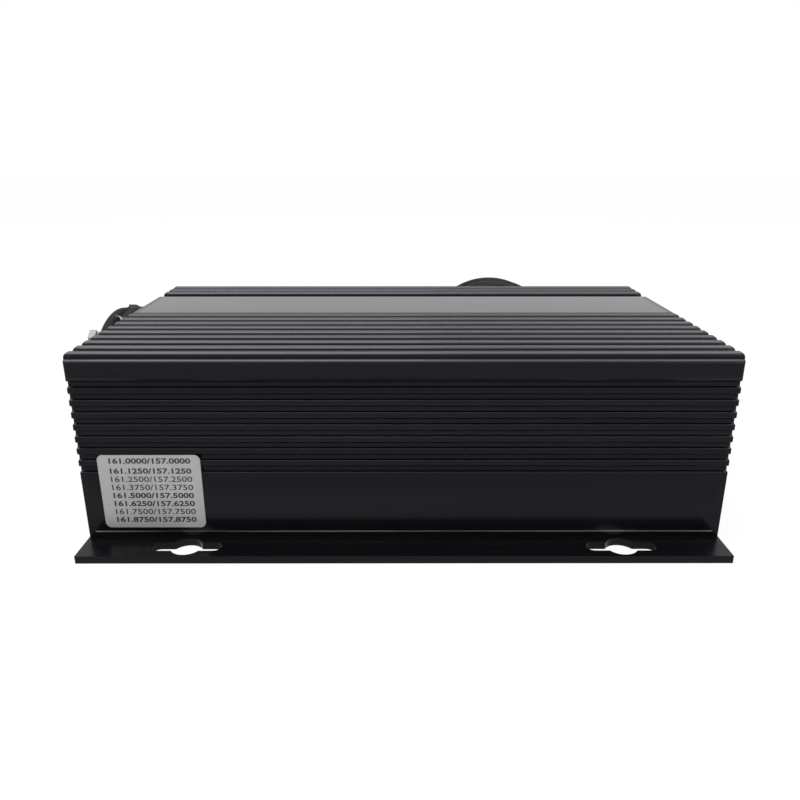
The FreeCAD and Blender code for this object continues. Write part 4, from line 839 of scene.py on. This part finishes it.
# %% Rocker marks
rocker_tilt = 10.0
rocker_waist = 1.5
rocker_lip = 2.6
rocker_half_length = 8.0
rocker_pivot = Vector((100.0, -34.0, 32.0))
mark_reach = 4.3
mark_height = 2.4
mark_boldness = 0.01
rocker_slope = (rocker_lip - rocker_waist) / rocker_half_length
mark_stand = rocker_waist + rocker_slope * mark_reach
rest = Matrix.Rotation(math.radians(rocker_tilt), 4, "Y")
marks = []
for words, side in (("I", -1), ("O", 1)):
    lean = math.radians(rocker_tilt) + side * math.atan(rocker_slope)
    over = Matrix.Rotation(lean, 4, "Y")
    spot = rocker_pivot + rest @ Vector((mark_stand, 0, side * mark_reach))
    marks.append(printed(words, None, mark_height, spot, over @ print_normal_x, mark_boldness))
settle(joined(marks), "rocker_marks", "rocker", white_paint)


# %% [markdown]
# ## Threaded jacks
# The real jacks are turned from brass bar, threaded and nickel plated. A turned part is a
# profile spun about its axis, so the profile is drawn corner by corner with extrude and then
# spun. The thread is a ridge that a screw modifier winds round the barrel, a little more than
# a millimetre for each turn. One jack is made, and the other is its copy lower down.

# %% Turned profiles
def drawn_profile(corners_mm):
    """A closed line of edges through the corners, made by extruding one corner at a time."""
    line = fresh(bpy.ops.mesh.primitive_plane_add, size=MM)
    bpy.ops.object.mode_set(mode="EDIT")
    bpy.ops.mesh.select_mode(type="VERT")
    bpy.ops.mesh.select_all(action="SELECT")
    bpy.ops.mesh.merge(type="CENTER")
    here = Vector((0, 0, 0))
    for number, corner in enumerate(list(corners_mm) + [corners_mm[0]]):
        step = Vector(corner) * MM - here
        if number == 0:
            bpy.ops.transform.translate(value=step)
        else:
            bpy.ops.mesh.extrude_region_move(TRANSFORM_OT_translate={"value": step})
        here = Vector(corner) * MM
    bpy.ops.mesh.select_all(action="SELECT")
    bpy.ops.mesh.remove_doubles(threshold=0.001 * MM)
    return line


def spun(line, centre_mm, axis, steps):
    bpy.ops.mesh.select_all(action="SELECT")
    bpy.ops.mesh.spin(steps=steps, angle=2 * math.pi, center=Vector(centre_mm) * MM, axis=axis)
    tidy_mesh()
    bpy.ops.object.mode_set(mode="OBJECT")
    return line


# %% Jack body
jack_y = 28.0
antenna_jack_z = 43.0
jack_spacing = 25.0
thread_pitch = 1.058
thread_turns = 9
thread_start = 102.6
thread_root = 7.25
thread_crest = 7.88
thread_foot_share = 0.42
thread_crest_share = 0.1
thread_steps = 32
barrel_steps = 64
jack_profile = [
    (92.0, 3.55), (92.0, 7.88), (100.0, 7.88), (100.0, 10.5), (101.6, 10.5), (102.0, 10.1),
    (102.0, 7.3), (112.5, 7.3), (113.0, 6.9), (113.0, 5.9), (112.7, 5.6), (103.0, 5.6),
    (103.0, 3.55),
]
jack_axis = Vector((0, jack_y, antenna_jack_z))
jack = drawn_profile([(x, jack_y, antenna_jack_z + reach) for x, reach in jack_profile])
jack = spun(jack, jack_axis, (1, 0, 0), barrel_steps)

# %% Jack thread
half_foot = thread_pitch * thread_foot_share
half_crest = thread_pitch * thread_crest_share
thread = drawn_profile([(-half_foot, 0, thread_root), (-half_crest, 0, thread_crest),
                        (half_crest, 0, thread_crest), (half_foot, 0, thread_root)])
bpy.ops.object.mode_set(mode="OBJECT")
thread.location = Vector((thread_start + half_foot, jack_y, antenna_jack_z)) * MM
winding = thread.modifiers.new("winding", "SCREW")
winding.axis = "X"
winding.screw_offset = thread_pitch * MM
winding.iterations = thread_turns
winding.steps = thread_steps
winding.render_steps = thread_steps
bpy.ops.object.modifier_apply(modifier="winding")
bpy.ops.object.mode_set(mode="EDIT")
bpy.ops.mesh.select_all(action="SELECT")
bpy.ops.mesh.fill_holes(sides=8)
tidy_mesh()
bpy.ops.object.mode_set(mode="OBJECT")
apply_place(thread)
jack = joined([jack, thread])
smoothed(jack, 25.0)
lower_jack = copied(jack, Matrix.Translation(Vector((0, 0, -jack_spacing * MM))))
settle(jack, "antenna_jack_body", "housing", nickel)
settle(lower_jack, "radio_jack_body", "housing", nickel)
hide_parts("antenna_jack")
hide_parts("radio_jack")


# %% [markdown]
# ## Rings on the strain relief
# A moulded strain relief has rings that let it bend in steps. The cone carries four of them.
# One ring is a small round section spun about the lead, and the others are its copies, drawn
# in as the cone grows thinner.

# %% Strain relief rings
cone_top = 38.692
cone_top_radius = 4.3
cone_low_radius = 3.1
ring_top = 36.9
ring_step = 1.7
ring_count = 4
ring_section_radius = 0.45
ring_section_squash = (1.0, 0.8, 1.25)


def cone_radius(z):
    share = (z - boot_low) / (cone_top - boot_low)
    return cone_low_radius + (cone_top_radius - cone_low_radius) * share


ring = fresh(bpy.ops.mesh.primitive_circle_add, vertices=12, radius=ring_section_radius * MM,
             location=Vector((supply_coil_x, boot_y + cone_radius(ring_top), ring_top)) * MM,
             rotation=(0, math.radians(90), 0))
apply_place(ring)
bpy.ops.object.mode_set(mode="EDIT")
bpy.ops.mesh.select_all(action="SELECT")
bpy.ops.transform.resize(value=ring_section_squash)
ring = spun(ring, (supply_coil_x, boot_y, ring_top), (0, 0, 1), 48)
cone_rings = [ring]
for k in range(1, ring_count):
    z = ring_top - k * ring_step
    slimmer = cone_radius(z) / cone_radius(ring_top)
    to_axis = Matrix.Translation(Vector((-supply_coil_x, -boot_y, -ring_top)) * MM)
    back = Matrix.Translation(Vector((supply_coil_x, boot_y, z)) * MM)
    cone_rings.append(copied(ring, back @ Matrix.Diagonal((slimmer, slimmer, 1, 1)) @ to_axis))
cone_rings = joined(cone_rings)
smoothed(cone_rings, 60.0)
settle(cone_rings, "strain_relief_rings", "housing", rubber)


# %% [markdown]
# ## Grips and contacts of the plugs
# The supply plug has a row of raised bars where the thumb pulls, and the control plug has
# eight gilt blades in its comb of slots. Both are rows of one small bar: a block with its
# edges rounded by a bevel, copied at an even step.

# %% Rows of bars
def bar_row(middle_mm, size_mm, round_mm, count, step_mm):
    bar = fresh(bpy.ops.mesh.primitive_cube_add, size=1.0)
    bar.location = Vector(middle_mm) * MM
    bar.scale = Vector(size_mm) * MM
    apply_place(bar)
    bevelled(bar, round_mm)
    bars = [bar]
    for k in range(1, count):
        bars.append(copied(bar, Matrix.Translation(Vector(step_mm) * (k * MM))))
    row = joined(bars)
    smoothed(row)
    return row


# %% Grips of the supply plug
grip_size = (10.5, 1.0, 0.9)
grip_round = 0.3
grip_count = 5
grip_step = 2.4
grip_start = 10.0
plug_low, plug_high = (Vector(corner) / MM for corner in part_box("power_plug"))
plug_middle = (plug_low + plug_high) / 2
grips = bar_row((plug_middle.x, plug_low.y + grip_start, plug_high.z), grip_size, grip_round,
                grip_count, (0, grip_step, 0))
settle(grips, "plug_grips", "housing", black_plastic)

# %% Contacts of the control plug
contact_size = (5.4, 0.34, 0.8)
contact_round = 0.08
contact_count = 8
contact_pitch = 1.02
contact_inset = 3.1
contact_depth = 0.8
comb_top = 9.1
control_low, control_high = (Vector(corner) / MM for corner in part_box("control_plug"))
comb_middle = (control_low.y + control_high.y) / 2
first_contact = comb_middle - (contact_count - 1) / 2 * contact_pitch
contacts = bar_row((control_low.x + contact_inset, first_contact, comb_top - contact_depth),
                   contact_size, contact_round, contact_count, (0, contact_pitch, 0))
settle(contacts, "plug_contacts", "housing", gold)
